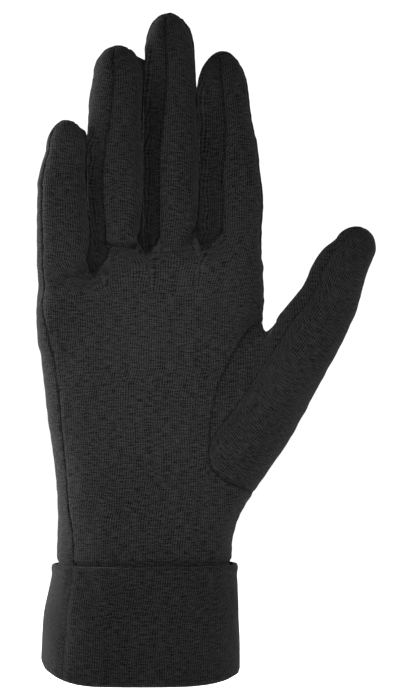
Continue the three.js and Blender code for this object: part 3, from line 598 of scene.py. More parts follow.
    def side_angles(self, index: int, side: Side, measure: Array | float, inset: float) -> tuple[Array, Array]:
        """Seam angles on one side of a finger, front and back, inset by a clear space for the strip.

        Args:
            index: the finger, 0 the little one.
            side: which side of it.
            measure: how far along it.
            inset: clear space kept from the seams.

        Returns:
            The angle of the front seam and of the back seam.
        """
        measure = np.asarray(measure, float)
        if index == (0 if side is Side.LITTLE else 3):
            front, _, back = self.outer[side]
            return np.full(measure.shape, front), np.full(measure.shape, back)
        turn = FINGERS[index].turn if side is Side.LITTLE else 0
        ease = 1 + 2.4 * np.maximum(1 - measure / 0.35, 0)
        clear = self.clear_angle(index, measure, inset * ease)
        return (self.seam_angles[side, Face.FRONT](measure) + turn + clear,
                self.seam_angles[side, Face.BACK](measure) + turn - clear)

    def fork_ray(self, fork: int, turn: Array, across: Array, inset: float) -> tuple[Array, Array]:
        """Rays in the fork between two fingers.

        Args:
            fork: the fork, 0 between the little and ring fingers.
            turn: -1 on the first finger's side to 1 on the second one's.
            across: 0 at the front seam to 1 at the back seam.
            inset: clear space kept from the seams.

        Returns:
            Origins and directions.
        """
        first = mix(*self.side_angles(fork, Side.THUMB, 0, inset), across)
        second = mix(*self.side_angles(fork + 1, Side.LITTLE, 0, inset), across)
        share = (turn + 1) / 2
        start, _ = self.finger_ray(fork, np.zeros_like(first), -first)
        end, _ = self.finger_ray(fork + 1, np.zeros_like(second), second)
        origin = mix(start, end, share[..., None])
        half = turn * np.pi / 2
        origin[..., 2] -= self.s.fork_depth * np.cos(half)
        angle = np.radians(mix(first, second, share))
        return origin, unit(stack(-np.sin(half) * np.sin(angle), -np.cos(angle), np.cos(half) * np.sin(angle)))

    @staticmethod
    def round_side(angle: Array) -> Array:
        """The sine of the angle round the hand's side, raised so that the thumb hole's corners are round."""
        return np.abs(np.sin(np.radians(angle))) ** 0.72

    def hole_top(self, angle: Array) -> Array:
        """Height of the thumb hole's upper edge by the angle round the hand's side."""
        return self.s.crotch - self.s.hole_drop * (1 - self.round_side(angle))

    def hole_bottom(self, angle: Array) -> Array:
        """Height of the thumb hole's lower edge by the angle round the hand's side."""
        return self.s.heel + self.s.hole_lift * (1 - self.round_side(angle))

    def bow(self, z: Array) -> Array:
        """How far the thumb hole bows into the palm at a height: most in its upper half.

        Args:
            z: heights.

        Returns:
            One length for each height.
        """
        low, high = self.hole_bottom(0), self.hole_top(0)
        share = np.clip((z - low) / (high - low), 0, 1) ** 1.3
        return self.s.hole_bow * 4 * share * (1 - share)

    def sheet_ray(self, face: Face, share: Array, z: Array) -> tuple[Array, Array]:
        """Rays from the middle of the hand to its palm or back: share 0 is their first column.

        Args:
            face: palm or back.
            share: 0 at the first column to 1 at the last.
            z: heights.

        Returns:
            Origins and directions.
        """
        x, half_x, half_y = self.body_section(z)
        edge = half_x - self.s.edge_share * half_y
        left, right = x - edge, x + edge - self.bow(z)
        if face is Face.FRONT:
            return stack(mix(left, right, share), 0, z), stack(0 * z * share, -1, 0)
        return stack(mix(right, left, share), 0, z), stack(0 * z * share, 1, 0)

    def side_ray(self, side: Side, turn: Array, z: Array) -> tuple[Array, Array]:
        """Rays round a side of the hand: turn 0 faces the palm's way and 1 the back's way.

        Args:
            side: which side of the hand.
            turn: 0 to 1 round it.
            z: heights.

        Returns:
            Origins and directions.
        """
        x, half_x, half_y = self.body_section(z)
        edge = half_x - self.s.edge_share * half_y
        sign = -1 if side is Side.LITTLE else 1
        angle = turn * np.pi
        return stack(x + sign * edge, 0, z + 0 * turn), stack(sign * np.sin(angle), -np.cos(angle), 0)

    def thumb_axis(self, share: Array) -> Array:
        """Points on the thumb's middle line.

        Args:
            share: shares of the thumb's length.

        Returns:
            One point for each share.
        """
        out, forward, _, _ = self.thumb_section(share)
        point = self.thumb_root + share[..., None] * self.s.thumb_length * self.thumb_up
        point = point + out[..., None] * self.thumb_out
        point[..., 1] = forward
        return point

    def thumb_ray(self, share: Array, turn: Array) -> tuple[Array, Array]:
        """Rays around the thumb: share runs along it, turn in degrees from the side that faces the fingers.

        Args:
            share: shares of its length.
            turn: degrees round it.

        Returns:
            Origins and directions.
        """
        climb = np.clip((share - self.thumb_dome) / (1 - self.thumb_dome), 0, 1) * np.pi / 2
        angle = np.radians(turn)
        flat = -np.cos(angle)[..., None] * self.thumb_out + np.sin(angle)[..., None] * np.array([0.0, -1.0, 0.0])
        direction = flat * np.cos(climb)[..., None] + np.sin(climb)[..., None] * self.thumb_up
        return self.thumb_axis(np.minimum(share, self.thumb_dome)), direction

    @staticmethod
    def mix_rays(first: tuple[Array, Array], second: tuple[Array, Array], share: Array) -> tuple[Array, Array]:
        """Rays part way between two others, their directions turned evenly along the great circle.

        Args:
            first: origins and directions at share 0.
            second: origins and directions at share 1.
            share: how far along, one for each ray.

        Returns:
            Origins and directions.
        """
        dot = np.clip((first[1] * second[1]).sum(axis=-1), -1, 1)
        angle = np.maximum(np.arccos(dot), 1e-6)
        start = (np.sin((1 - share) * angle) / np.sin(angle))[..., None]
        end = (np.sin(share * angle) / np.sin(angle))[..., None]
        return mix(first[0], second[0], share[..., None]), unit(first[1] * start + second[1] * end)


# Cloth meshes


def quads(numbers: Array) -> Array:
    """Corner numbers of the faces of a grid of point numbers."""
    return corner_values(numbers[..., None])[..., 0]


def corner_values(values: Array) -> Array:
    """A grid's values at the four corners of each of its faces, in the order in which a face is walked round."""
    corners = [values[:-1, :-1], values[:-1, 1:], values[1:, 1:], values[1:, :-1]]
    return np.stack(corners, axis=-2).reshape(-1, 4, values.shape[-1])


@dataclass
class Patch:
    """A grid of skin points whose rows climb and whose columns run to the right seen from outside."""

    points: Array
    knit: Array
    offset: Array


@dataclass
class ClothMesh:
    """Patches of one cut piece, welded where they share borders and thickened to a closed wall.

    The outer side keeps the patches' full fineness. The inner side takes every step-th row and column, moved in
    by the cloth's thickness, and rim faces join the two along every open border.
    """

    form: HandForm
    step: int
    thickness: float
    turned_under: float = 0.6
    patches: list[Patch] = field(default_factory=list)

    def add(self, points: Array, knit: Array, offset: Array | None = None) -> None:
        """Adds a patch, its wall moved by an offset at each point if one is given."""
        self.patches.append(Patch(points, knit, np.zeros_like(points) if offset is None else offset))

    @staticmethod
    def _weld(points: Array) -> tuple[Array, Array]:
        """Where the unique points first come, and the number of each point's own one."""
        _, first, number = np.unique(np.round(points, 3), axis=0, return_index=True, return_inverse=True)
        return first, number.reshape(-1)

    def outer(self) -> tuple[Array, Array, list[Array]]:
        """The welded outer points, their offsets, and each patch's grid of their numbers."""
        flat = np.concatenate([patch.points.reshape(-1, 3) for patch in self.patches])
        moved = np.concatenate([patch.offset.reshape(-1, 3) for patch in self.patches])
        first, number = self._weld(flat)
        grids, start = [], 0
        for patch in self.patches:
            rows, columns = patch.points.shape[:2]
            grids.append(number[start:start + rows * columns].reshape(rows, columns))
            start += rows * columns
        return flat[first], moved[first], grids

    @staticmethod
    def _borders(grid: Array) -> list[Array]:
        """The four borders of a grid in the direction in which its faces run along them."""
        return [grid[0], grid[:, -1], grid[-1, ::-1], grid[::-1, 0]]

    def chains(self, grids: list[Array]) -> Array:
        """Open border pieces of the outer side: rows of step + 1 point numbers, ends on coarse points.

        Args:
            grids: each patch's point numbers.

        Returns:
            The pieces that only one patch has, in the direction in which its faces run.
        """
        pieces = []
        for grid in grids:
            for border in self._borders(grid):
                count = (len(border) - 1) // self.step
                take = np.arange(count)[:, None] * self.step + np.arange(self.step + 1)
                pieces.append(border[take])
        chains = np.concatenate(pieces)
        chains = chains[chains[:, 0] != chains[:, -1]]
        big = chains.max() + 1
        forth = chains[:, 0] * big + chains[:, -1]
        back = chains[:, -1] * big + chains[:, 0]
        return chains[~np.isin(forth, back)]

    def build(self, name: str, relief: Relief, seam_points: Array | None = None) -> bpy.types.Object:
        """Makes the Blender object.

        Args:
            name: the object's name.
            relief: function of outer points, normals and seam distances that gives the height to add.
            seam_points: points on seams inside the piece, besides its own borders, if it has any.

        Returns:
            The object, at the origin, with the UV map "knit" and the attribute "seam".
        """
        points, offset, grids = self.outer()
        normals = self.form.normal(points)
        chains = self.chains(grids)
        edges = points[chains]
        seams = np.concatenate([mix(edges[:, :-1], edges[:, 1:], share).reshape(-1, 3) for share in (0.0, 0.5)])
        if seam_points is not None:
            seams = np.concatenate([seams, seam_points])
        away = nearest(points, seams)
        raised = points + offset + normals * relief(points, normals, away)[:, None]
        coarse = [grid[::self.step, ::self.step] for grid in grids]
        used, back = np.unique(np.concatenate([grid.reshape(-1) for grid in coarse]), return_inverse=True)
        spread = self._turn_under(points, grids, chains)
        inner = points[used] + offset[used] - normals[used] * self.thickness + spread[used]
        lookup = np.full(len(points), -1)
        lookup[used] = np.arange(len(used)) + len(points)
        faces: list[Array] = []
        uvs: list[Array] = []
        for grid, patch in zip(grids, self.patches):
            faces.append(quads(grid))
            uvs.append(corner_values(patch.knit))
        for grid, patch in zip(coarse, self.patches):
            faces.append(quads(lookup[grid])[:, ::-1])
            uvs.append(corner_values(patch.knit[::self.step, ::self.step])[:, ::-1])
        rim = np.concatenate([chains[:, ::-1], lookup[chains[:, :1]], lookup[chains[:, -1:]]], axis=1)
        place = np.concatenate([raised, inner])
        rim_uv = np.zeros(rim.shape + (2,))
        rim_uv[..., 0] = place[rim][..., 0]
        rim_uv[..., 1] = place[rim][..., 2]
        distances = np.concatenate([away, away[used]])
        made = make_object(name, place, [(np.concatenate(faces), np.concatenate(uvs)), (rim, rim_uv)], distances)
        log.info("%s: %d points, %d triangles", name, len(place), sum(len(p.vertices) - 2 for p in made.data.polygons))
        return made

    def _turn_under(self, points: Array, grids: list[Array], chains: Array) -> Array:
        """How far the inner side reaches past each open border, under the neighbouring piece.

        The reach points away from the row next to the border, and borders that two patches share cancel out.

        Args:
            points: the outer points.
            grids: each patch's point numbers.
            chains: the open border pieces.

        Returns:
            One vector for each outer point.
        """
        reach = np.zeros_like(points)
        for grid in grids:
            turned = (grid, grid[::-1], grid.T, grid.T[::-1])
            for rows in turned:
                np.add.at(reach, rows[0], unit(points[rows[0]] - points[rows[self.step]]))
        reach /= np.maximum(np.linalg.norm(reach, axis=-1, keepdims=True), 1)
        closed = np.ones(len(points), bool)
        closed[chains] = False
        reach[closed] = 0
        return reach * self.turned_under

def nearest(points: Array, targets: Array) -> Array:
    """Distance from each point to the nearest of the targets, in blocks of whole arrays.

    Args:
        points: the points.
        targets: the targets.

    Returns:
        One distance for each point.
    """
    result = np.empty(len(points))
    targets = targets.astype(np.float32)
    square = (targets**2).sum(axis=1)
    for start in range(0, len(points), 4096):
        block = points[start:start + 4096].astype(np.float32)
        table = (block**2).sum(axis=1)[:, None] + square - 2 * block @ targets.T
        result[start:start + 4096] = np.sqrt(np.maximum(table.min(axis=1), 0))
    return result


def make_object(name: str, points: Array, parts: list[tuple[Array, Array]], seam: Array) -> bpy.types.Object:
    """Puts arrays into a smooth-shaded mesh object at the origin.

    Args:
        name: the object's and the mesh's name.
        points: corner places in millimetres.
        parts: for each size of face, corner numbers and corner UVs in millimetres. Corners that fall together
            are dropped.
        seam: distance of each point from the nearest seam, in millimetres.

    Returns:
        The new object, linked to the scene.
    """
    loops, starts, uv_values, total = [], [], [], 0
    for faces, uvs in parts:
        keep = faces != np.roll(faces, 1, axis=1)
        good = keep.sum(axis=1) >= 3
        faces, uvs, keep = faces[good], uvs[good], keep[good]
        counts = keep.sum(axis=1)
        loops.append(faces[keep])
        uv_values.append(uvs[keep])
        starts.append(total + np.concatenate([[0], np.cumsum(counts)[:-1]]))
        total += counts.sum()
    corners = np.concatenate(loops)
    mesh = bpy.data.meshes.new(name)
    mesh.vertices.add(len(points))
    mesh.vertices.foreach_set("co", (points * MM).astype(np.float32).ravel())
    mesh.loops.add(len(corners))
    mesh.loops.foreach_set("vertex_index", corners.astype(np.int32))
    begin = np.concatenate(starts).astype(np.int32)
    mesh.polygons.add(len(begin))
    mesh.polygons.foreach_set("loop_start", begin)
    mesh.update(calc_edges=True)
    uv_map = mesh.uv_layers.new(name="knit")
    uv_map.data.foreach_set("uv", np.concatenate(uv_values).astype(np.float32).ravel())
    attribute = mesh.attributes.new("seam", "FLOAT", "POINT")
    attribute.data.foreach_set("value", seam.astype(np.float32))
    mesh.polygons.foreach_set("use_smooth", np.ones(len(begin), bool))
    mesh.validate()
    made = bpy.data.objects.new(name, mesh)
    bpy.context.collection.objects.link(made)
    return made


# Pieces


def measures(finger_rows: int, dome_rows: int, end: float) -> Array:
    """Places up a finger: even steps to the dome, then even steps over it to the end."""
    return np.concatenate([np.linspace(0, 1, finger_rows + 1), np.linspace(1, end, dome_rows + 1)[1:]])


def row_lengths(points: Array, reference: int) -> Array:
    """Length along each row of a grid, counted from a reference column.

    Args:
        points: the grid.
        reference: the column that counts as 0.

    Returns:
        A length for each point.
    """
    steps = np.linalg.norm(np.diff(points, axis=1), axis=-1)
    total = np.concatenate([np.zeros((len(points), 1)), np.cumsum(steps, axis=1)], axis=1)
    return total - total[:, reference:reference + 1]


def column_lengths(points: Array, start: Array | float) -> Array:
    """Length up each column of a grid, counted from its start.

    Args:
        points: the grid.
        start: the first row's own length.

    Returns:
        A length for each point.
    """
    steps = np.linalg.norm(np.diff(points, axis=0), axis=-1)
    total = np.concatenate([np.zeros((1, points.shape[1])), np.cumsum(steps, axis=0)], axis=0)
    return total + start


@dataclass
class ClothRelief:
    """Height that worn jersey adds to the smooth skin, in millimetres.

    It is a soft undulation, fainter wrinkles that run across, small puckers that fade away from the seams, a
    groove where an edge is turned under at a seam, and the creases of the table.
    """

    groove: float = 0.24
    groove_width: float = 0.42
    pucker: float = 0.16
    pucker_width: float = 2.6
    swell: float = 0.2
    wrinkle: float = 0.1
    cuff_pinch: float = 0.9
    seed: int = 3

    def __post_init__(self) -> None:
        """Draws the waves."""
        self.long_waves = Waves(17, self.seed)
        self.fine_waves = Waves(6, self.seed + 1)
        self.pucker_waves = Waves(3.1, self.seed + 2)

    def __call__(self, points: Array, normals: Array, away: Array) -> Array:
        """Heights at points with their normals and seam distances.

        Args:
            points: the skin points.
            normals: their outward directions, not used.
            away: their seam distances.

        Returns:
            One height for each point.
        """
        across = self.fine_waves(points * np.array([0.3, 0.3, 1.2]))
        relief = self.swell * self.long_waves(points) + self.wrinkle * across
        relief += self.pucker * self.pucker_waves(points) * np.exp(-((away / self.pucker_width) ** 2))
        relief -= self.groove * np.exp(-((away / self.groove_width) ** 2))
        relief -= self.cuff_pinch * np.exp(-(((points[..., 2] - SIZES.cuff_height - 0.3) / 1.3) ** 2))
        return relief - HandForm.fold_depth(points, CREASES)


@dataclass
class Columns:
    """Columns of a panel from one side seam to the other: which part each is on, its share, its ray at the foot."""

    part: Array
    share: Array
    top: tuple[Array, Array]


class HandPanel:
    """The palm's or the back's half of the hand, with the same side of its four fingers."""

    finger_columns = 7
    fork_columns = 2
    side_columns = {(Side.LITTLE, Face.FRONT): 4, (Side.LITTLE, Face.BACK): 13,
                    (Side.THUMB, Face.FRONT): 8, (Side.THUMB, Face.BACK): 8}
    body_rows = (13, 12, 16, 9)
    root_rows = 6
    finger_rows = 22
    dome_rows = 6
    cap_rows = 2
    step = 4

    def __init__(self, form: HandForm, face: Face, inset: float | None = None) -> None:
        """Sets up the panel's columns.

        Args:
            form: the hand's form.
            face: palm or back.
            inset: clear space kept from the side seams, half the seam gap if not given.
        """
        self.form = form
        self.face = face
        self.inset = form.s.seam_gap / 2 if inset is None else inset
        self.columns = self._make_columns()
        self.side_lines: list[Array] = []

    def outer_angle(self, side: Side, portion: Array, measure: Array | float) -> Array:
        """Angle around an outer finger between the panel's corner, portion 0, and the side seam, portion 1.

        Args:
            side: the outer side.
            portion: 0 to 1 from corner to seam.
            measure: how far along the finger.

        Returns:
            Angles in degrees.
        """
        front, seam, back = self.form.outer[side]
        corner = front if self.face is Face.FRONT else back
        sign = -1 if self.face is Face.FRONT else 1
        clear = self.form.clear_angle(0 if side is Side.LITTLE else 3, measure, sign * self.inset)
        return (1 if side is Side.LITTLE else -1) * mix(corner, seam + clear, portion)

    def _portions(self, side: Side) -> Array:
        """Portions of the side's columns, from next to the corner to the seam."""
        count = self.side_columns[side, self.face] * self.step
        return np.arange(1, count + 1) / count

    def _make_columns(self) -> Columns:
        """Works out all columns in the panel's own order, left to right seen from outside."""
        form, step = self.form, self.step
        across = 0 if self.face is Face.FRONT else 1
        origins, directions = [], []
        for index in range(4):
            count = self.finger_columns * step
            first = form.side_angles(index, Side.LITTLE, 0, 0)[across]
            last = 360 * across - form.side_angles(index, Side.THUMB, 0, 0)[across]
            angle = mix(first, last, np.linspace(0, 1, count + 1))
            origin, direction = form.finger_ray(index, np.zeros_like(angle), angle)
            origins.append(origin)
            directions.append(direction)
            if index < 3:
                turn = np.linspace(-1, 1, self.fork_columns * step + 1)[1:-1]
                origin, direction = form.fork_ray(index, turn, np.full_like(turn, across), 0)
                origins.append(origin)
                directions.append(direction)
        sheet = np.concatenate(origins), np.concatenate(directions)
        share = np.abs(across - np.linspace(0, 1, len(sheet[0])))
        little, thumb = self._portions(Side.LITTLE)[::-1], self._portions(Side.THUMB)
        first = form.finger_ray(0, np.zeros_like(little), self.outer_angle(Side.LITTLE, little, 0))
        last = form.finger_ray(3, np.zeros_like(thumb), self.outer_angle(Side.THUMB, thumb, 0))
        part = np.concatenate([np.full(len(little), 1), np.zeros(len(share), int), np.full(len(thumb), 2)])
        top = tuple(np.concatenate([first[kind], sheet[kind], last[kind]]) for kind in (0, 1))
        share = np.concatenate([little, share, thumb])
        if self.face is Face.BACK:
            return Columns(part[::-1], share[::-1], (top[0][::-1], top[1][::-1]))
        return Columns(part, share, top)

    def side_turn(self, side: Side, portion: Array, z: Array) -> Array:
        """How far round a side columns stand at a height, 0 the palm and 1 the back.

        Args:
            side: the side.
            portion: 0 to 1 from the panel's corner to its seam.
            z: heights.

        Returns:
            Turns for side_ray.
        """
        _, _, half_y = self.form.body_section(z)
        clear = self.inset / (np.pi * self.form.s.edge_share * half_y)
        seam = self.form.side_seam(z) if side is Side.LITTLE else 0.5
        if self.face is Face.FRONT:
            return portion * (seam - clear)
        return 1 - portion * (1 - seam - clear)

    def body_ray(self, z: Array) -> tuple[Array, Array]:
        """Rays of all columns at heights, one column of heights for each.

        Args:
            z: rows of heights, one for each column.

        Returns:
            Origins and directions.
        """
        part, share = self.columns.part, self.columns.share
        origin = np.empty(z.shape + (3,))
        direction = np.empty(z.shape + (3,))
        for kind in (0, 1, 2):
            pick = part == kind
            heights = z[:, pick]
            if kind == 0:
                ray = self.form.sheet_ray(self.face, share[pick], heights)
            else:
                side = Side.LITTLE if kind == 1 else Side.THUMB
                ray = self.form.side_ray(side, self.side_turn(side, share[pick], heights), heights)
            origin[:, pick], direction[:, pick] = ray
        return origin, direction

    def hem_rise(self) -> Array:
        """How far the hem rises towards its corners at each column."""
        _, direction = self.body_ray(np.zeros((1, len(self.columns.part))))
        rise = np.where(direction[0, :, 0] < 0, self.form.s.hem_rise_little, self.form.s.hem_rise_thumb)
        return rise * (1 - np.abs(direction[0, :, 1]))

    def hole_angle(self) -> Array:
        """Angle round the thumb's side at which each column stands, for the seam loop's edges."""
        portion = self.columns.share * 0.5
        turn = portion if self.face is Face.FRONT else 1 - portion
        return np.where(self.columns.part == 2, turn * 180, 0)

    def stops(self) -> list[Array]:
        """Heights at which the parts of the body's columns end."""
        s, angle = self.form.s, self.hole_angle()
        every = np.ones(len(angle))
        return [s.hem_tuck + self.hem_rise(), s.cuff_height * every, self.form.hole_bottom(angle),
                self.form.hole_top(angle), s.shelf * every]

    def build(self, relief: ClothRelief) -> bpy.types.Object:
        """Builds the panel's mesh from the hem to the fingertips.

        Args:
            relief: the cloth's relief.

        Returns:
            The panel's object.
        """
        form, step, columns = self.form, self.step, self.columns
        cloth = ClothMesh(form, step, form.s.cloth)
        middle = len(columns.part) // 2
        stops = self.stops()
        thumb_side = np.flatnonzero(columns.part == 2)
        shelf_u = None
        for part, count in enumerate(self.body_rows):
            rows = np.linspace(0, 1, count * step + 1)[:, None]
            z = mix(stops[part], stops[part + 1], rows)
            points = form.cast(*self.body_ray(z))
            knit = np.stack([row_lengths(points, middle), z], axis=-1)
            if part == 2:
                away = slice(0, thumb_side[0]) if self.face is Face.FRONT else slice(thumb_side[-1] + 1, None)
                points, knit = points[:, away], knit[:, away]
            else:
                shelf_u = knit[-1, :, 0]
            cloth.add(points, knit)
        self._add_root(cloth, shelf_u)
        body = [patch.points for patch in cloth.patches[:4]]
        self.side_lines.append(np.concatenate([points[:-1, 0] for points in body]))
        return cloth.build(f"{'palm' if self.face is Face.FRONT else 'back'}_jersey", relief)

    def _finger_slices(self) -> list[tuple[int, int]]:
        """First and last column of each finger in the panel's order, outer sides included."""
        step = self.step
        start = 0
        slices = []
        order = range(4) if self.face is Face.FRONT else range(3, -1, -1)
        for index in order:
            count = self.finger_columns * step
            if index == 0:
                count += self.side_columns[Side.LITTLE, self.face] * step
            if index == 3:
                count += self.side_columns[Side.THUMB, self.face] * step
            slices.append((index, start, start + count))
            start += count + self.fork_columns * step
        return slices

    def _centre(self, index: int) -> int:
        """Number of a finger's middle column, counted from its first one.

        Args:
            index: the finger, 0 the little one.

        Returns:
            The column's number.
        """
        first_side = Side.LITTLE if self.face is Face.FRONT else Side.THUMB
        extra = self.side_columns[first_side, self.face] if index == (0 if self.face is Face.FRONT else 3) else 0
        return (extra + self.finger_columns // 2) * self.step

    def _add_root(self, cloth: ClothMesh, shelf_u: Array) -> None:
        """Adds the rows between body and fingers, then the fingers and their caps.

        Args:
            cloth: the mesh to add to.
            shelf_u: knit coordinate of each column on the body's last row.
        """
        form, step = self.form, self.step
        count = self.root_rows * step + 1
        every = len(self.columns.part)
        share = np.broadcast_to(np.linspace(0, 1, count)[:, None], (count, every))
        start = spread(self.body_ray(np.full((1, every), form.s.shelf)), (count, every, 3))
        end = spread(self.columns.top, (count, every, 3))
        points = form.cast(*form.mix_rays(start, end, share))
        foot_u = shelf_u.copy()
        slices = self._finger_slices()
        for index, first, last in slices:
            centre = self._centre(index)
            foot_u[first:last + 1] = shelf_u[first + centre] + row_lengths(points[-1:, first:last + 1], centre)[0]
        lengths = column_lengths(points, form.s.shelf)
        cloth.add(points, np.stack([mix(shelf_u, foot_u, share), lengths], axis=-1))
        for index, first, last in slices:
            start_v = lengths[-1, first:last + 1]
            self._add_finger(cloth, index, shelf_u[first + self._centre(index)], start_v)

    def finger_angles(self, index: int, measure: Array) -> Array:
        """Angles of the columns around one finger, in the panel's order, for each measure.

        Args:
            index: the finger, 0 the little one.
            measure: how far along the finger.

        Returns:
            Rows of angles in degrees.
        """
        across = 0 if self.face is Face.FRONT else 1
        measure = measure[:, None]
        first = self.form.side_angles(index, Side.LITTLE, measure, 0)[across]
        last = 360 * across - self.form.side_angles(index, Side.THUMB, measure, 0)[across]
        parts = [mix(first, last, np.linspace(0, 1, self.finger_columns * self.step + 1))]
        if index == 0:
            parts.insert(0, self.outer_angle(Side.LITTLE, self._portions(Side.LITTLE)[::-1], measure))
        if index == 3:
            parts.append(self.outer_angle(Side.THUMB, self._portions(Side.THUMB), measure) + 360 * across)
        angles = np.concatenate(parts, axis=1)
        return angles if self.face is Face.FRONT else angles[:, ::-1]

    def _add_finger(self, cloth: ClothMesh, index: int, start_u: float, start_v: Array) -> None:
        """Adds one finger's sheet and its cap over the tip.

        Args:
            cloth: the mesh to add to.
            index: the finger.
            start_u: knit coordinate of its middle column.
            start_v: knit coordinate of its foot at each column.
        """
        form, step = self.form, self.step
        measure = measures(self.finger_rows * step, self.dome_rows * step, form.s.strip_end)
        angles = self.finger_angles(index, measure)
        points = form.cast(*form.finger_ray(index, np.broadcast_to(measure[:, None], angles.shape), angles))
        centre = self._centre(index)
        v = column_lengths(points, start_v)
        cloth.add(points, np.stack([start_u + row_lengths(points, centre), v], axis=-1))
        ray = self._cap_rays(index, angles[-1])
        caps = form.cast(*ray)
        extra = step if index != (0 if self.face is Face.FRONT else 3) else 0
        cap_v = column_lengths(caps, v[-1, centre])
        cloth.add(caps, np.stack([start_u + row_lengths(caps, centre + extra), cap_v], axis=-1))

    def _cap_rays(self, index: int, rim_angles: Array) -> tuple[Array, Array]:
        """Rays of a fingertip's cap, from where the strips end to the seam between the two panels.

        Args:
            index: the finger.
            rim_angles: the angles of the sheet's last row.

        Returns:
            Origins and directions.
        """
        form, step = self.form, self.step
        turned = 0 if self.face is Face.FRONT else 360
        sign = -1 if self.face is Face.FRONT else 1
        clear = sign * form.clear_angle(index, form.s.strip_end, self.inset)
        little = float(np.mean(form.side_angles(index, Side.LITTLE, form.s.strip_end, 0))) + clear
        thumb = turned - (float(np.mean(form.side_angles(index, Side.THUMB, form.s.strip_end, 0))) + clear)
        ends = [None if index == 0 else little, None if index == 3 else thumb]
        if self.face is Face.BACK:
            ends.reverse()
        parts = [rim_angles]
        if ends[0] is not None:
            parts.insert(0, mix(ends[0], rim_angles[0], np.arange(step) / step))
        if ends[1] is not None:
            parts.append(mix(rim_angles[-1], ends[1], np.arange(1, step + 1) / step))
        angle = np.concatenate(parts)
        rim = form.finger_ray(index, np.full_like(angle, form.s.strip_end), angle)
        share = np.linspace(0, 1, len(angle))
        first, last = (spread((rim[0][end], rim[1][end]), rim[0].shape) for end in (0, -1))
        seam = form.mix_rays(first, last, share)
        count = self.cap_rows * step + 1
        shape = (count, len(angle), 3)
        climb = np.broadcast_to(np.linspace(0, 1, count)[:, None], shape[:2])
        return form.mix_rays(spread(rim, shape), spread(seam, shape), climb)


class SideStrip:
    """The narrow strip down one finger's side, round the fork and up the next finger's side."""

    columns = 4
    fork_rows = 6
    step = 4
    longest_ray = 16.0
    contact = (210.0, 241.0, 229.0)
    contact_fade = 9.0
    fork_fade = 1.5
    wave = 0.35
    wave_length = 9.0
    overlap = 0.15
    most = 2.0
    open_gap = 3.0
    hollow_lean = 1.9
    hollow_gain = 1.9

    def __init__(self, form: HandForm, fork: int) -> None:
        """Keeps the form and the fork's number, 0 between the little and ring fingers.

        Args:
            form: the hand's form.
            fork: the fork, 0 between the little and ring fingers.
        """
        self.form = form
        self.fork = fork
        self.side_lines: list[Array] = []

    def build(self, relief: ClothRelief) -> bpy.types.Object:
        """Builds the strip's mesh.

        Args:
            relief: the cloth's relief.

        Returns:
            The strip's object.
        """
        form, step, gap = self.form, self.step, self.form.s.seam_gap
        across = np.linspace(0, 1, self.columns * step + 1)
        end = form.s.strip_end - gap / (FINGERS[self.fork].cap * np.pi / 2)
        climb = measures(HandPanel.finger_rows * step, HandPanel.dome_rows * step, end)
        rays = []
        for finger, side, sign in ((self.fork, Side.THUMB, -1), (self.fork + 1, Side.LITTLE, 1)):
            front, back = form.side_angles(finger, side, climb[:, None], gap)
            angle = sign * mix(front, back, across)
            rays.append(form.finger_ray(finger, np.broadcast_to(climb[:, None], angle.shape), angle))
        turn = np.linspace(-1, 1, self.fork_rows * step + 1)[1:-1, None]
        shape = (len(turn), len(across))
        middle = form.fork_ray(self.fork, np.broadcast_to(turn, shape), np.broadcast_to(across, shape), gap)
        joined = tuple(np.concatenate([rays[0][kind][::-1], middle[kind], rays[1][kind]])[::-1] for kind in (0, 1))
        points = self._mend(joined[0], form.cast(*joined))
        self.side_lines = [points[:, 0], points[:, -1]]
        half = len(across) // 2
        knit = np.stack([row_lengths(points, half), column_lengths(points, 0.0)], axis=-1)
        cloth = ClothMesh(form, step, form.s.cloth)
        cloth.add(points, knit, self._press(points))
        names = FINGERS[self.fork].name, FINGERS[self.fork + 1].name
        return cloth.build(f"strip_{names[0]}_{names[1]}_jersey", relief)

    def _mend(self, origin: Array, points: Array) -> Array:
        """Replaces points whose ray slipped past the narrow fork into the next finger.

        Such a ray is longer than any real one. Its point is put evenly between its column's good neighbours.

        Args:
            origin: the rays' starting points.
            points: the points that they met.

        Returns:
            The points, stray ones replaced.
        """
        good = np.linalg.norm(points - origin, axis=-1) < self.longest_ray
        rows = np.arange(len(points))
        mended = points.copy()
        for column in np.flatnonzero(~good.all(axis=0)):
            kept = rows[good[:, column]]
            mended[:, column] = interpolate(rows, kept, points[kept, column])
        return mended

    def _press(self, points: Array) -> Array:
        """Presses the two fingers' strips against each other below the height where the fingers part.

        Each strip is moved sideways to a wavy sheet midway between the two fingers, and a little past it. The
        movement is full in the middle of the strip and fades towards its seams, at the fork, above the contact
        and where the fingers stand too far apart.

        Args:
            points: the strip's points, rows along it and columns across it.

        Returns:
            The movement of each point.
        """
        form, fork = self.form, self.fork
        z = points[..., 2]
        first, _, first_half, _ = form.finger_section(fork, z)
        second, _, second_half, _ = form.finger_section(fork + 1, z)
        middle = (first + first_half + second - second_half) / 2
        wave = self.wave * np.sin(points[..., 1] * 2 * np.pi / self.wave_length)
        side = np.where(points[..., 0] < middle, -1.0, 1.0)
        gap = (middle + wave - side * self.overlap - points[..., 0]) * -side
        across = np.linspace(0, 1, points.shape[1])
        fade = np.clip(np.sin(np.pi * across**self.hollow_lean) * self.hollow_gain, 0, 1) ** 2
        fade = fade * np.clip((self.contact[fork] - z) / self.contact_fade, 0, 1)
        fade = fade * np.clip((z - form.thumb_fork[fork]) / self.fork_fade, 0, 1)
        fade = fade * np.clip(self.open_gap - gap, 0, 1)
        moved = np.zeros_like(points)
        moved[..., 0] = -side * np.clip(gap, 0, self.most) * fade
        return moved


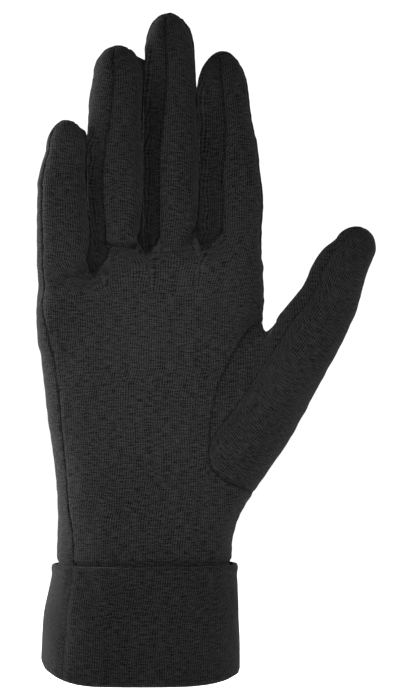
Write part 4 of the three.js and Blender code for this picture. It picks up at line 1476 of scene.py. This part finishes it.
class ThumbPiece:
    """The set-in thumb, from its seam loop on the hand to its closed tip."""

    counts = {"front": 10, "bottom": 7, "back": 10, "top": 7}
    turns = {"front_top": 25.0, "front_bottom": 98.0, "back_bottom": 262.0, "back_top": 335.0}
    root_rows = 12
    tube_rows = 12
    dome_rows = 4
    seam_turn = 82.0
    seam_sway = 32.0
    seam_spread = 45.0
    crotch_ease = 0.5
    probe = 0.02
    step = 4

    def __init__(self, form: HandForm) -> None:
        """Works out the seam loop's rays and the turn round the thumb that each one meets.

        Args:
            form: the hand's form.
        """
        self.form = form
        self.loop_line = np.zeros((0, 3))
        turns, step = self.turns, self.step
        share = {key: np.arange(count * step) / (count * step) for key, count in self.counts.items()}
        top, bottom = form.hole_top, form.hole_bottom
        rays = [
            form.sheet_ray(Face.FRONT, np.ones_like(share["front"]), mix(top(0), bottom(0), share["front"])),
            form.side_ray(Side.THUMB, share["bottom"], bottom(share["bottom"] * 180)),
            form.sheet_ray(Face.BACK, np.zeros_like(share["back"]), mix(bottom(0), top(0), share["back"])),
            form.side_ray(Side.THUMB, 1 - share["top"], top(180 - share["top"] * 180)),
        ]
        self.loop = tuple(np.concatenate([ray[kind] for ray in rays]) for kind in (0, 1))
        self.turn = np.concatenate([
            mix(turns["front_top"], turns["front_bottom"], share["front"]),
            mix(turns["front_bottom"], turns["back_bottom"], share["bottom"]),
            mix(turns["back_bottom"], turns["back_top"], share["back"]),
            mix(turns["back_top"], turns["front_top"] + 360, share["top"]),
        ])
        away = (self.turn - self.seam_turn + 180) % 360 - 180
        self.tube_turn = self.turn - self.seam_sway * np.exp(-((away / self.seam_spread) ** 2))

    def root_rays(self, share: Array) -> tuple[Array, Array]:
        """Rays between the seam loop and the thumb's own sections, kept under the crotch.

        Args:
            share: rows of shares, 0 on the loop and 1 on the thumb's section.

        Returns:
            Origins and directions.
        """
        form = self.form
        full = form.thumb_ray(np.full_like(self.turn, form.s.thumb_full), self.tube_turn)
        shape = share.shape + (3,)
        origin, direction = form.mix_rays(spread(self.loop, shape), spread(full, shape), share)
        inner = np.maximum(np.cos(np.radians(self.turn)), 0)
        origin[..., 2] -= form.s.crotch_depth * inner * np.sin(np.pi * share)
        return origin, direction

    def build(self, relief: ClothRelief) -> bpy.types.Object:
        """Builds the thumb's mesh.

        Args:
            relief: the cloth's relief.

        Returns:
            The thumb's object.
        """
        form, step = self.form, self.step
        every = len(self.turn)
        rows = np.linspace(0, 1, self.root_rows * step + 1)[:-1, None]
        root = form.cast(*self.root_rays(mix(self._clear_share(), 1.0, rows)))
        shares = np.concatenate([
            np.linspace(form.s.thumb_full, form.thumb_dome, self.tube_rows * step + 1),
            np.linspace(form.thumb_dome, 1, self.dome_rows * step + 1)[1:],
        ])
        shape = (len(shares), every)
        tube = form.cast(*form.thumb_ray(np.broadcast_to(shares[:, None], shape),
                                         np.broadcast_to(self.tube_turn, shape)))
        points = np.concatenate([root, tube])
        points[-1] = points[-1].mean(axis=0)
        points = np.concatenate([points, points[:, :1]], axis=1)
        self.loop_line = points[0]
        cloth = ClothMesh(form, step, form.s.cloth)
        seam = self.seam_column()
        cuts = [0, seam, self.grain_column(), points.shape[1] - 1]
        lengths = column_lengths(points, 0.0)
        around = row_lengths(points, seam)
        for first, last in zip(cuts[:-1], cuts[1:]):
            piece = slice(first, last + 1)
            by_the_palm = first == 0 or last == points.shape[1] - 1
            if by_the_palm:
                knit = points[:, piece][..., [0, 2]]
            else:
                knit = np.stack([around[:, piece], lengths[:, piece]], axis=-1)
            cloth.add(points[:, piece], knit)
        line = points[:, seam]
        seam_points = np.concatenate([mix(line[:-1], line[1:], share) for share in (0.0, 0.33, 0.67)])
        return cloth.build("thumb_jersey", relief, seam_points)

    def _clear_share(self) -> Array:
        """Share along the root at which each column is clear of the seam loop by the seam's gap.

        The share is scaled from how far a small probe share moves the skin point, eased in the crotch.
        """
        edge = self.form.cast(*self.loop)
        near = self.form.cast(*self.root_rays(np.full((1, len(self.turn)), self.probe)))[0]
        ease = 1 + self.crotch_ease * np.maximum(np.cos(np.radians(self.turn)), 0)
        return self.probe * ease * self.form.s.seam_gap / np.linalg.norm(near - edge, axis=-1)

    def seam_column(self) -> int:
        """Column of the lengthwise seam, on a coarse step."""
        front = self.counts["front"] * self.step
        share = (self.seam_turn - self.turns["front_top"]) / (self.turns["front_bottom"] - self.turns["front_top"])
        return int(round(share * front / self.step)) * self.step

    def grain_column(self) -> int:
        """Column where the grain turns again, at the top of the loop's back curve."""
        return (self.counts["front"] + self.counts["bottom"] + self.counts["back"]) * self.step


class Cuff:
    """The doubled band round the sleeve, with its hem turned up inside, sizes in millimetres."""

    point_pitch = 0.85
    fineness = 3
    outside = 1.0
    swell = 0.32
    swell_length = 21.0
    ripple = 0.14
    ripple_length = 7.0
    roll = 0.3
    roll_drop = 1.4
    roll_width = 1.6
    dip = 0.16
    dip_drop = 4.6
    dip_width = 2.2
    bow = 0.5
    seam_depth = 0.45
    seam_width = 0.8
    top_waver = 0.35
    top_length = 26.0

    def __init__(self, form: HandForm) -> None:
        """Sets up the columns all round the hand, without clear spaces at the side seams.

        Args:
            form: the hand's form.
        """
        self.form = form
        self.halves = HandPanel(form, Face.FRONT, 0.0), HandPanel(form, Face.BACK, 0.0)

    def profile(self) -> Array:
        """The band's outline as points of out, up and lift, resampled evenly and rounded at its corners.

        Out is the distance from the sleeve, up the share of the cuff's height and lift a height above that.
        """
        s = self.form.s
        inside, face = -s.cloth - s.seam_gap, s.seam_gap + s.cuff_cloth
        top, rounding = s.hem_tuck - s.seam_gap, 0.4 * s.cuff_cloth
        corners = np.array([
            (s.seam_gap, 1, -0.2), (s.seam_gap, 0, top), (inside, 0, top), (inside, 0, s.hem_lip),
            (inside - s.cloth, 0, s.hem_lip), (inside - s.cloth, 0, s.cuff_cloth), (inside, 0, 0.2),
            (s.seam_gap, 0, 0), (face, 0, 2 * rounding), (face, 1, -rounding), (face - rounding, 1, 0.1),
        ])
        corners = np.concatenate([corners, corners[:1]])
        steps = np.diff(corners, axis=0)
        lengths = np.hypot(steps[:, 0], steps[:, 1] * s.cuff_height + steps[:, 2])
        at = np.concatenate([[0], np.cumsum(lengths)])
        places = np.linspace(0, at[-1], int(at[-1] / self.point_pitch) * self.fineness)[:-1]
        fine = interpolate(places, at, corners)
        for _ in range(2):
            fine = (np.roll(fine, 1, axis=0) + fine * 2 + np.roll(fine, -1, axis=0)) / 4
        return fine[::self.fineness]

    def _rings(self, profile: Array) -> tuple[Array, ...]:
        """Skin points, level outward directions and heights of rings round the sleeve.

        Args:
            profile: the band's outline.

        Returns:
            Three grids, a row for each point of the outline and a column for each place round the hand.
        """
        rings = []
        for half, pick in zip(self.halves, (slice(None, None, 2), slice(2, -1, 2))):
            z = mix(half.hem_rise()[None, :], self.form.s.cuff_height, profile[:, 1:2]) + profile[:, 2:3]
            origin, direction = half.body_ray(z)
            points = self.form.cast(origin[:, pick], direction[:, pick])
            normals = self.form.normal(points)
            normals[..., 2] = 0
            rings.append((points, unit(normals), z[:, pick]))
        return tuple(np.concatenate(grids, axis=1) for grids in zip(*rings))

    def _relief(self, points: Array, z: Array, away: Array) -> Array:
        """Height added on the outer face.

        It is a soft swell with a finer ripple, a roll under the top edge with a dip below it, a bow between top
        and hem, less a groove along the side seam.

        Args:
            points: the skin points.
            z: their heights before the top's waver.
            away: their distances from the side seam.

        Returns:
            One height for each point.
        """
        below = self.form.s.cuff_height - z
        swell = self.swell * Waves(self.swell_length, 11)(points)
        swell = swell + self.ripple * Waves(self.ripple_length, 12)(points * np.array([1.0, 1.0, 0.4]))
        roll = self.roll * np.exp(-(((below - self.roll_drop) / self.roll_width) ** 2))
        dip = self.dip * np.exp(-(((below - self.dip_drop) / self.dip_width) ** 2))
        bow = self.bow * np.sin(np.pi * np.clip(z / self.form.s.cuff_height, 0, 1))
        return swell + roll - dip + bow - self.seam_depth * np.exp(-((away / self.seam_width) ** 2))

    def build(self) -> bpy.types.Object:
        """Builds the cuff's mesh.

        Returns:
            The cuff's object.
        """
        profile = self.profile()
        points, normals, z = self._rings(profile)
        outward = profile[:, 0:1] > self.outside
        away = np.linalg.norm(points - points[:, :1], axis=-1)
        raised = np.where(outward, self._relief(points, z, away), 0.0)
        place = points + normals * (profile[:, 0:1, None] + raised[..., None])
        high = np.clip(profile[:, 1:2] * 2 - 1, 0, 1)
        place[..., 2] = z + high * self.top_waver * Waves(self.top_length, 13)(points)
        closed = self._close(place)
        knit = np.stack([row_lengths(closed, 0), column_lengths(closed, 0.0)], axis=-1)
        numbers = self._close(np.arange(place.size // 3).reshape(place.shape[:2]))
        seam_distance = np.where(outward, away, FAR).reshape(-1)
        return make_object("cuff_jersey", place.reshape(-1, 3), [(quads(numbers), corner_values(knit))],
                           seam_distance)

    @staticmethod
    def _close(grid: Array) -> Array:
        """A grid with its first column repeated after the last and its first row repeated after that."""
        wide = np.concatenate([grid, grid[:, :1]], axis=1)
        return np.concatenate([wide, wide[:1]], axis=0)


class SeamThreads:
    """Short sewing threads that bridge the seams, sunk into their grooves."""

    pitch = 1.7
    reach = 0.45
    radius = 0.09
    sunk = 0.34
    bow = 0.18
    look_ahead = 0.5
    sides = 6
    stations = np.array([-1.0, -0.45, 0.45, 1.0])

    def __init__(self, form: HandForm) -> None:
        """Starts with no threads."""
        self.form = form
        self.centres: list[Array] = []
        self.runs: list[Array] = []

    def along(self, line: Array) -> None:
        """Places threads along a line of points at an even pitch.

        Args:
            line: points on the skin that follow the seam.
        """
        steps = np.linalg.norm(np.diff(line, axis=0), axis=-1)
        at = np.concatenate([[0], np.cumsum(steps)])
        places = np.arange(self.pitch, at[-1] - self.pitch, self.pitch)
        centres = interpolate(places, at, line)
        self.centres.append(centres)
        self.runs.append(unit(interpolate(places + self.look_ahead, at, line) - centres))

    def build(self) -> bpy.types.Object:
        """Builds all threads as one mesh of short bowed tubes.

        Returns:
            The threads' object.
        """
        centre, run = np.concatenate(self.centres), np.concatenate(self.runs)
        normal = self.form.normal(centre)
        across = unit(np.cross(run, normal))
        turn = np.arange(self.sides) * 2 * np.pi / self.sides
        t = self.stations
        rise = self.bow * (1 - t * t) - self.sunk
        spine = (centre[:, None] + across[:, None] * (t * self.reach)[:, None] + normal[:, None] * rise[:, None]
                 + run[:, None] * (t * self.bow)[:, None])
        swell = self.radius * np.array([0.6, 1.0, 1.0, 0.6])
        ring = (run[:, None, :] * np.cos(turn)[:, None] + normal[:, None, :] * np.sin(turn)[:, None])
        place = spine[:, :, None] + ring[:, None] * swell[:, None, None]
        count, rows = len(centre), len(t)
        number = np.arange(count * rows * self.sides).reshape(count, rows, self.sides)
        after = np.roll(number, -1, axis=2)
        walls = np.stack([number[:, :-1], number[:, 1:], after[:, 1:], after[:, :-1]], axis=-1).reshape(-1, 4)
        ends = np.concatenate([number[:, 0], number[:, -1, ::-1]])
        parts = [(faces, np.zeros(faces.shape + (2,))) for faces in (walls, ends)]
        return make_object("seam_threads", place.reshape(-1, 3), parts, np.full(place.size // 3, FAR))


# Materials


@dataclass(frozen=True)
class JerseyFinish:
    """Looks of the marled jersey.

    Grey levels are linear and knit sizes in millimetres. A stretch scales the knit's two directions for a noise,
    and a span says which of the noise's heights run from which share of light yarn to which. Below a height in
    metres, deep darkens the colour in the valley between two fingers: painted shade, standing in for the shade
    that the neighbouring finger casts. Groove darkens the colour near seams: painted shade in the seam grooves.
    The tone scales the whole grey; on the side strips it is lowered as painted shade.
    """

    dark: float = 0.0008
    light: float = 0.0158
    tone: float = 1.0
    wale: float = 0.86
    course: float = 0.62
    drift: Stretch = (0.11, 0.11, 0.11)
    drift_reach: Stretch = (1.6, 1.2, 0.0)
    course_lag: float = 0.9
    streak: Stretch = (0.3, 2.2, 1.0)
    streak_span: Span = (0.36, 0.65, -0.04, 0.78)
    grain: Stretch = (1.5, 1.7, 1.0)
    grain_span: Span = (0.38, 0.64, -0.02, 0.42)
    blotch: Stretch = (38.0, 38.0, 38.0)
    blotch_span: Span = (0.3, 0.7, -0.07, 0.07)
    wale_shade: float = 0.3
    course_shade: float = 0.04
    # painted shade: groove and groove_width darken the colour near seams, standing in for the shade in the seam
    # grooves
    groove: float = 0.56
    groove_width: float = 0.75
    # painted shade: deep and the two fields after it darken the colour below a height, standing in for the shade
    # between two fingers
    deep: float = 1.0
    valley_shade_below: float = 0.0
    valley_shade_fade: float = 0.02
    fuzz: Stretch = (2.3, 2.6, 1.0)
    wale_height: float = 0.3
    course_height: float = 0.22
    fuzz_height: float = 0.9
    streak_height: float = 0.5
    bump: float = 0.42
    bump_depth: float = 0.00022
    roughness: float = 0.9
    gloss: float = 0.02
    sheen: float = 0.07
    sheen_roughness: float = 0.45


PALM_FINISH = JerseyFinish()
BACK_FINISH = JerseyFinish(tone=0.96)
# painted shade: the side strips' lower tones and valley darkening stand in for the shade between the fingers
SHADED_STRIP_FINISHES = (
    JerseyFinish(tone=0.9, deep=0.62, valley_shade_below=0.188),
    JerseyFinish(tone=0.88, deep=0.5, valley_shade_below=0.212),
    JerseyFinish(tone=0.88, deep=0.75, valley_shade_below=0.2),
)
THUMB_FINISH = JerseyFinish(tone=0.94)
CUFF_FINISH = JerseyFinish(tone=0.9, wale=0.84)


class Nodes:
    """Short ways to add and link the nodes of one material."""

    def __init__(self, name: str) -> None:
        """Makes a material without nodes."""
        self.material = bpy.data.materials.new(name)
        self.material.use_nodes = True
        self.tree = self.material.node_tree
        self.tree.nodes.clear()

    def add(self, kind: str, inputs: dict[str | int, object] | None = None, **settings: object) -> bpy.types.Node:
        """Adds a node.

        Args:
            kind: the node's type.
            inputs: values or sockets for its inputs.
            settings: the node's own properties.

        Returns:
            The node.
        """
        node = self.tree.nodes.new(kind)
        for key, value in settings.items():
            setattr(node, key, value)
        for key, value in (inputs or {}).items():
            if isinstance(value, bpy.types.NodeSocket):
                self.tree.links.new(value, node.inputs[key])
            else:
                node.inputs[key].default_value = value
        return node

    def math(self, operation: str, *values: object) -> bpy.types.NodeSocket:
        """Adds a math node and gives its result."""
        return self.add("ShaderNodeMath", dict(enumerate(values)), operation=operation).outputs[0]

    def total(self, *values: object) -> bpy.types.NodeSocket:
        """Adds up sockets and numbers."""
        return values[0] if len(values) == 1 else self.math("ADD", values[0], self.total(*values[1:]))

    def noise(self, vector: bpy.types.NodeSocket, stretch: Stretch, detail: float,
              roughness: float) -> bpy.types.NodeSocket:
        """Adds noise on stretched coordinates and gives its height, about 0.5 in the middle.

        Args:
            vector: the coordinates.
            stretch: what they are multiplied by.
            detail: how many finer octaves it has.
            roughness: how strong they are.

        Returns:
            The height's socket.
        """
        scaled = self.add("ShaderNodeVectorMath", {0: vector, 1: stretch}, operation="MULTIPLY").outputs[0]
        return self.add("ShaderNodeTexNoise", {"Vector": scaled, "Scale": 1.0, "Detail": detail,
                                               "Roughness": roughness}).outputs[0]

    def span(self, value: bpy.types.NodeSocket, low: float, high: float, start: float,
             end: float) -> bpy.types.NodeSocket:
        """Maps a value from low to high on to start to end, held at both ends."""
        return self.add("ShaderNodeMapRange", {0: value, 1: low, 2: high, 3: start, 4: end}).outputs[0]


def jersey_material(name: str, finish: JerseyFinish) -> bpy.types.Material:
    """Makes the knitted cloth: marled yarn streaks along the courses, wales and courses in the bump.

    The grey lies between dark and light yarn by the sum of two noises, one of streaks along a course and one of
    grain, a faint blotch and the waves of wales and courses. The knit's height is the sum of the same two waves,
    with fuzz and streaks. A slow drift bends both, so that no course runs quite straight.

    Args:
        name: the material's name.
        finish: its levels and sizes.

    Returns:
        The material.
    """
    n = Nodes(name)
    knit = n.add("ShaderNodeUVMap", uv_map="knit").outputs[0]
    place = n.add("ShaderNodeTexCoord").outputs["Object"]
    drift = n.noise(knit, finish.drift, 1.0, 0.5)
    drifts = n.add("ShaderNodeCombineXYZ", {0: drift, 1: drift}).outputs[0]
    reach = n.add("ShaderNodeVectorMath", {0: drifts, 1: finish.drift_reach}, operation="MULTIPLY").outputs[0]
    bent = n.add("ShaderNodeVectorMath", {0: knit, 1: reach}, operation="ADD").outputs[0]
    parts = n.add("ShaderNodeSeparateXYZ", {0: bent})
    across = n.math("MULTIPLY", parts.outputs[0], 2 * np.pi / finish.wale)
    along = n.math("MULTIPLY", parts.outputs[1], 2 * np.pi / finish.course)
    wale = n.math("COSINE", across)
    course = n.math("COSINE", n.total(along, n.math("MULTIPLY", wale, finish.course_lag)))
    streak = n.noise(bent, finish.streak, 3.0, 0.62)
    grain = n.noise(bent, finish.grain, 2.0, 0.6)
    blotch = n.noise(place, finish.blotch, 2.0, 0.5)
    marl = n.total(n.span(streak, *finish.streak_span), n.span(grain, *finish.grain_span))
    stitch = n.total(n.math("MULTIPLY", wale, finish.wale_shade), n.math("MULTIPLY", course, finish.course_shade))
    shade = n.total(marl, stitch, n.span(blotch, *finish.blotch_span))
    seam = n.add("ShaderNodeAttribute", attribute_name="seam", attribute_type="GEOMETRY").outputs["Fac"]
    # painted shade: the colour darkens towards the seams, standing in for the shade in their grooves
    groove = n.span(seam, 0.0, finish.groove_width, finish.groove, 1.0)
    level = n.span(shade, 0.0, 1.0, finish.dark * finish.tone, finish.light * finish.tone)
    # painted shade: darker below a height, standing in for the shade in the valley between two fingers
    z = n.add("ShaderNodeSeparateXYZ", {0: place}).outputs[2]
    valley = n.span(z, finish.valley_shade_below, finish.valley_shade_below + finish.valley_shade_fade, finish.deep, 1.0)
    grey = n.math("MULTIPLY", level, n.math("MULTIPLY", groove, valley))
    colour = n.add("ShaderNodeCombineColor", {0: grey, 1: grey, 2: grey}).outputs[0]
    fuzz = n.noise(bent, finish.fuzz, 2.0, 0.6)
    waves = n.total(n.math("MULTIPLY", wale, finish.wale_height), n.math("MULTIPLY", course, finish.course_height))
    yarn = n.total(n.math("MULTIPLY", fuzz, finish.fuzz_height), n.math("MULTIPLY", streak, finish.streak_height))
    bump = n.add("ShaderNodeBump", {"Height": n.total(waves, yarn), "Strength": finish.bump,
                                    "Distance": finish.bump_depth})
    surface = n.add("ShaderNodeBsdfPrincipled", {
        "Base Color": colour, "Roughness": finish.roughness, "Specular IOR Level": finish.gloss,
        "Sheen Weight": finish.sheen, "Sheen Roughness": finish.sheen_roughness,
        "Sheen Tint": (0.5, 0.5, 0.5, 1.0), "Normal": bump.outputs[0]})
    n.add("ShaderNodeOutputMaterial", {0: surface.outputs[0]})
    return n.material


def plain_material(name: str, colour: tuple[float, float, float], roughness: float,
                   glow: float = 0.0) -> bpy.types.Material:
    """Makes a plain matt material, lit from within by a glow.

    Args:
        name: the material's name.
        colour: its linear colour.
        roughness: its roughness.
        glow: strength of its white glow.

    Returns:
        The material.
    """
    n = Nodes(name)
    surface = n.add("ShaderNodeBsdfPrincipled", {"Base Color": (*colour, 1.0), "Roughness": roughness,
                                                 "Specular IOR Level": 0.1,
                                                 "Emission Color": (1.0, 1.0, 1.0, 1.0),
                                                 "Emission Strength": glow})
    n.add("ShaderNodeOutputMaterial", {0: surface.outputs[0]})
    return n.material


# Studio


@dataclass(frozen=True)
class Softbox:
    """A rectangular lamp aimed at the middle of the glove, in metres and watts."""

    name: str
    place: tuple[float, float, float]
    breadth: float
    height: float
    power: float


@dataclass
class Studio:
    """The plain pale floor, the white surroundings, the lamps and the camera, in metres."""

    middle: tuple[float, float, float] = (0.0244, 0.0, 0.12375)
    distance: float = 1.0
    pixel: float = 0.000375
    height_pixels: int = 700
    sensor: float = 36.0
    floor_drop: float = 0.06
    floor_size: float = 14.0
    surround: float = 0.3
    backdrop: float = 1.1
    floor_glow: float = 0.75
    spot_place: tuple[float, float, float] = (-0.1, -0.85, 0.55)
    spot_target: tuple[float, float, float] = (0.004, -0.015, 0.118)
    spot_angle: float = 12.0
    spot_power: float = 108.0
    spot_radius: float = 0.09
    lamps: tuple[Softbox, ...] = (
        Softbox("front_high", (0.14, -0.75, 0.9), 0.35, 0.35, 3.5),
        Softbox("rim_left", (-0.75, 0.24, 0.2), 0.25, 0.9, 33.0),
        Softbox("rim_right", (0.75, 0.3, 0.02), 0.25, 0.7, 3.0),
    )

    def build(self) -> None:
        """Builds the floor, the surroundings, the lamps and the camera."""
        bpy.ops.mesh.primitive_plane_add(size=self.floor_size, location=(0, 0, -self.floor_drop))
        floor = bpy.context.object
        floor.name = "floor"
        floor.data.materials.append(plain_material("floor_paper", (0.93, 0.93, 0.93), 0.9, self.floor_glow))
        self._surround()
        for lamp in self.lamps:
            self._lamp(lamp)
        self._palm_spot()
        self._camera()

    def _surround(self) -> None:
        """Sets an even surrounding that is seen white and lights the glove softly."""
        bpy.context.scene.view_settings.view_transform = "Standard"
        world = bpy.data.worlds.new("surround")
        world.use_nodes = True
        background = world.node_tree.nodes["Background"]
        background.inputs["Color"].default_value = (1.0, 1.0, 1.0, 1.0)
        tree = world.node_tree
        seen = tree.nodes.new("ShaderNodeLightPath").outputs["Is Camera Ray"]
        strength = tree.nodes.new("ShaderNodeMapRange")
        strength.inputs[3].default_value = self.surround
        strength.inputs[4].default_value = self.backdrop
        tree.links.new(seen, strength.inputs[0])
        tree.links.new(strength.outputs[0], background.inputs["Strength"])
        bpy.context.scene.world = world

    @staticmethod
    def _aim(thing: bpy.types.Object, target: tuple[float, float, float]) -> None:
        """Turns a lamp or camera towards a point."""
        way = Vector(target) - thing.location
        thing.rotation_euler = way.to_track_quat("-Z", "Y").to_euler()

    def _lamp(self, lamp: Softbox) -> None:
        """Places one softbox.

        Args:
            lamp: its sizes and power.
        """
        data = bpy.data.lights.new(lamp.name, "AREA")
        data.shape = "RECTANGLE"
        data.size = lamp.breadth
        data.size_y = lamp.height
        data.energy = lamp.power
        made = bpy.data.objects.new(lamp.name, data)
        made.location = lamp.place
        bpy.context.collection.objects.link(made)
        self._aim(made, self.middle)

    def _palm_spot(self) -> None:
        """Places the soft-edged spot that lifts the hollow of the hand."""
        data = bpy.data.lights.new("palm_spot", "SPOT")
        data.energy = self.spot_power
        data.spot_size = np.radians(self.spot_angle)
        data.spot_blend = 1.0
        data.shadow_soft_size = self.spot_radius
        made = bpy.data.objects.new("palm_spot", data)
        made.location = self.spot_place
        bpy.context.collection.objects.link(made)
        self._aim(made, self.spot_target)

    def _camera(self) -> None:
        """Places the level camera: the lens follows from the size of a pixel on the glove's middle plane."""
        data = bpy.data.cameras.new("camera")
        data.sensor_width = self.sensor
        data.lens = self.sensor * self.distance / (self.pixel * self.height_pixels)
        data.clip_start = 0.01
        made = bpy.data.objects.new("camera", data)
        made.location = Vector(self.middle) - Vector((0, self.distance, 0))
        bpy.context.collection.objects.link(made)
        self._aim(made, self.middle)
        bpy.context.scene.camera = made


class GloveLiner:
    """All pieces of the glove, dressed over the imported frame."""

    def __init__(self) -> None:
        """Sets up the form and the cloth's relief."""
        self.form = HandForm(SIZES)
        self.relief = ClothRelief()
        self.threads = SeamThreads(self.form)

    def _place(self, made: bpy.types.Object, node: str, material: bpy.types.Material) -> None:
        """Gives a piece its material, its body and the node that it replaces.

        Args:
            made: the piece.
            node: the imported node's name.
            material: the material.
        """
        made.data.materials.append(material)
        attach(made, "root")
        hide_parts(node)

    def build(self) -> None:
        """Builds every piece and the threads."""
        form, relief = self.form, self.relief
        for face, name, finish in ((Face.FRONT, "palm", PALM_FINISH), (Face.BACK, "back", BACK_FINISH)):
            panel = HandPanel(form, face)
            made = panel.build(relief)
            self._place(made, f"{name}_panel", jersey_material(f"{name}_jersey", finish))
            if face is Face.FRONT:
                for line in panel.side_lines:
                    self.threads.along(line)
        for fork in range(3):
            strip = SideStrip(form, fork)
            node = f"side_strip_{FINGERS[fork].name}_{FINGERS[fork + 1].name}"
            material = jersey_material(f"side_strip_jersey_{fork}", SHADED_STRIP_FINISHES[fork])
            self._place(strip.build(relief), node, material)
            for line in strip.side_lines:
                self.threads.along(line)
        thumb = ThumbPiece(form)
        self._place(thumb.build(relief), "thumb", jersey_material("thumb_jersey", THUMB_FINISH))
        self.threads.along(thumb.loop_line)
        self._place(Cuff(form).build(), "cuff", jersey_material("cuff_jersey", CUFF_FINISH))
        threads = self.threads.build()
        threads.data.materials.append(plain_material("sewing_thread", (0.012, 0.012, 0.0125), 0.8))
        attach(threads, "root")


def main() -> None:
    """Builds the scene."""
    logging.basicConfig(level=logging.INFO, format="%(message)s")
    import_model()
    Studio().build()
    GloveLiner().build()


if __name__ == "__main__":
    main()
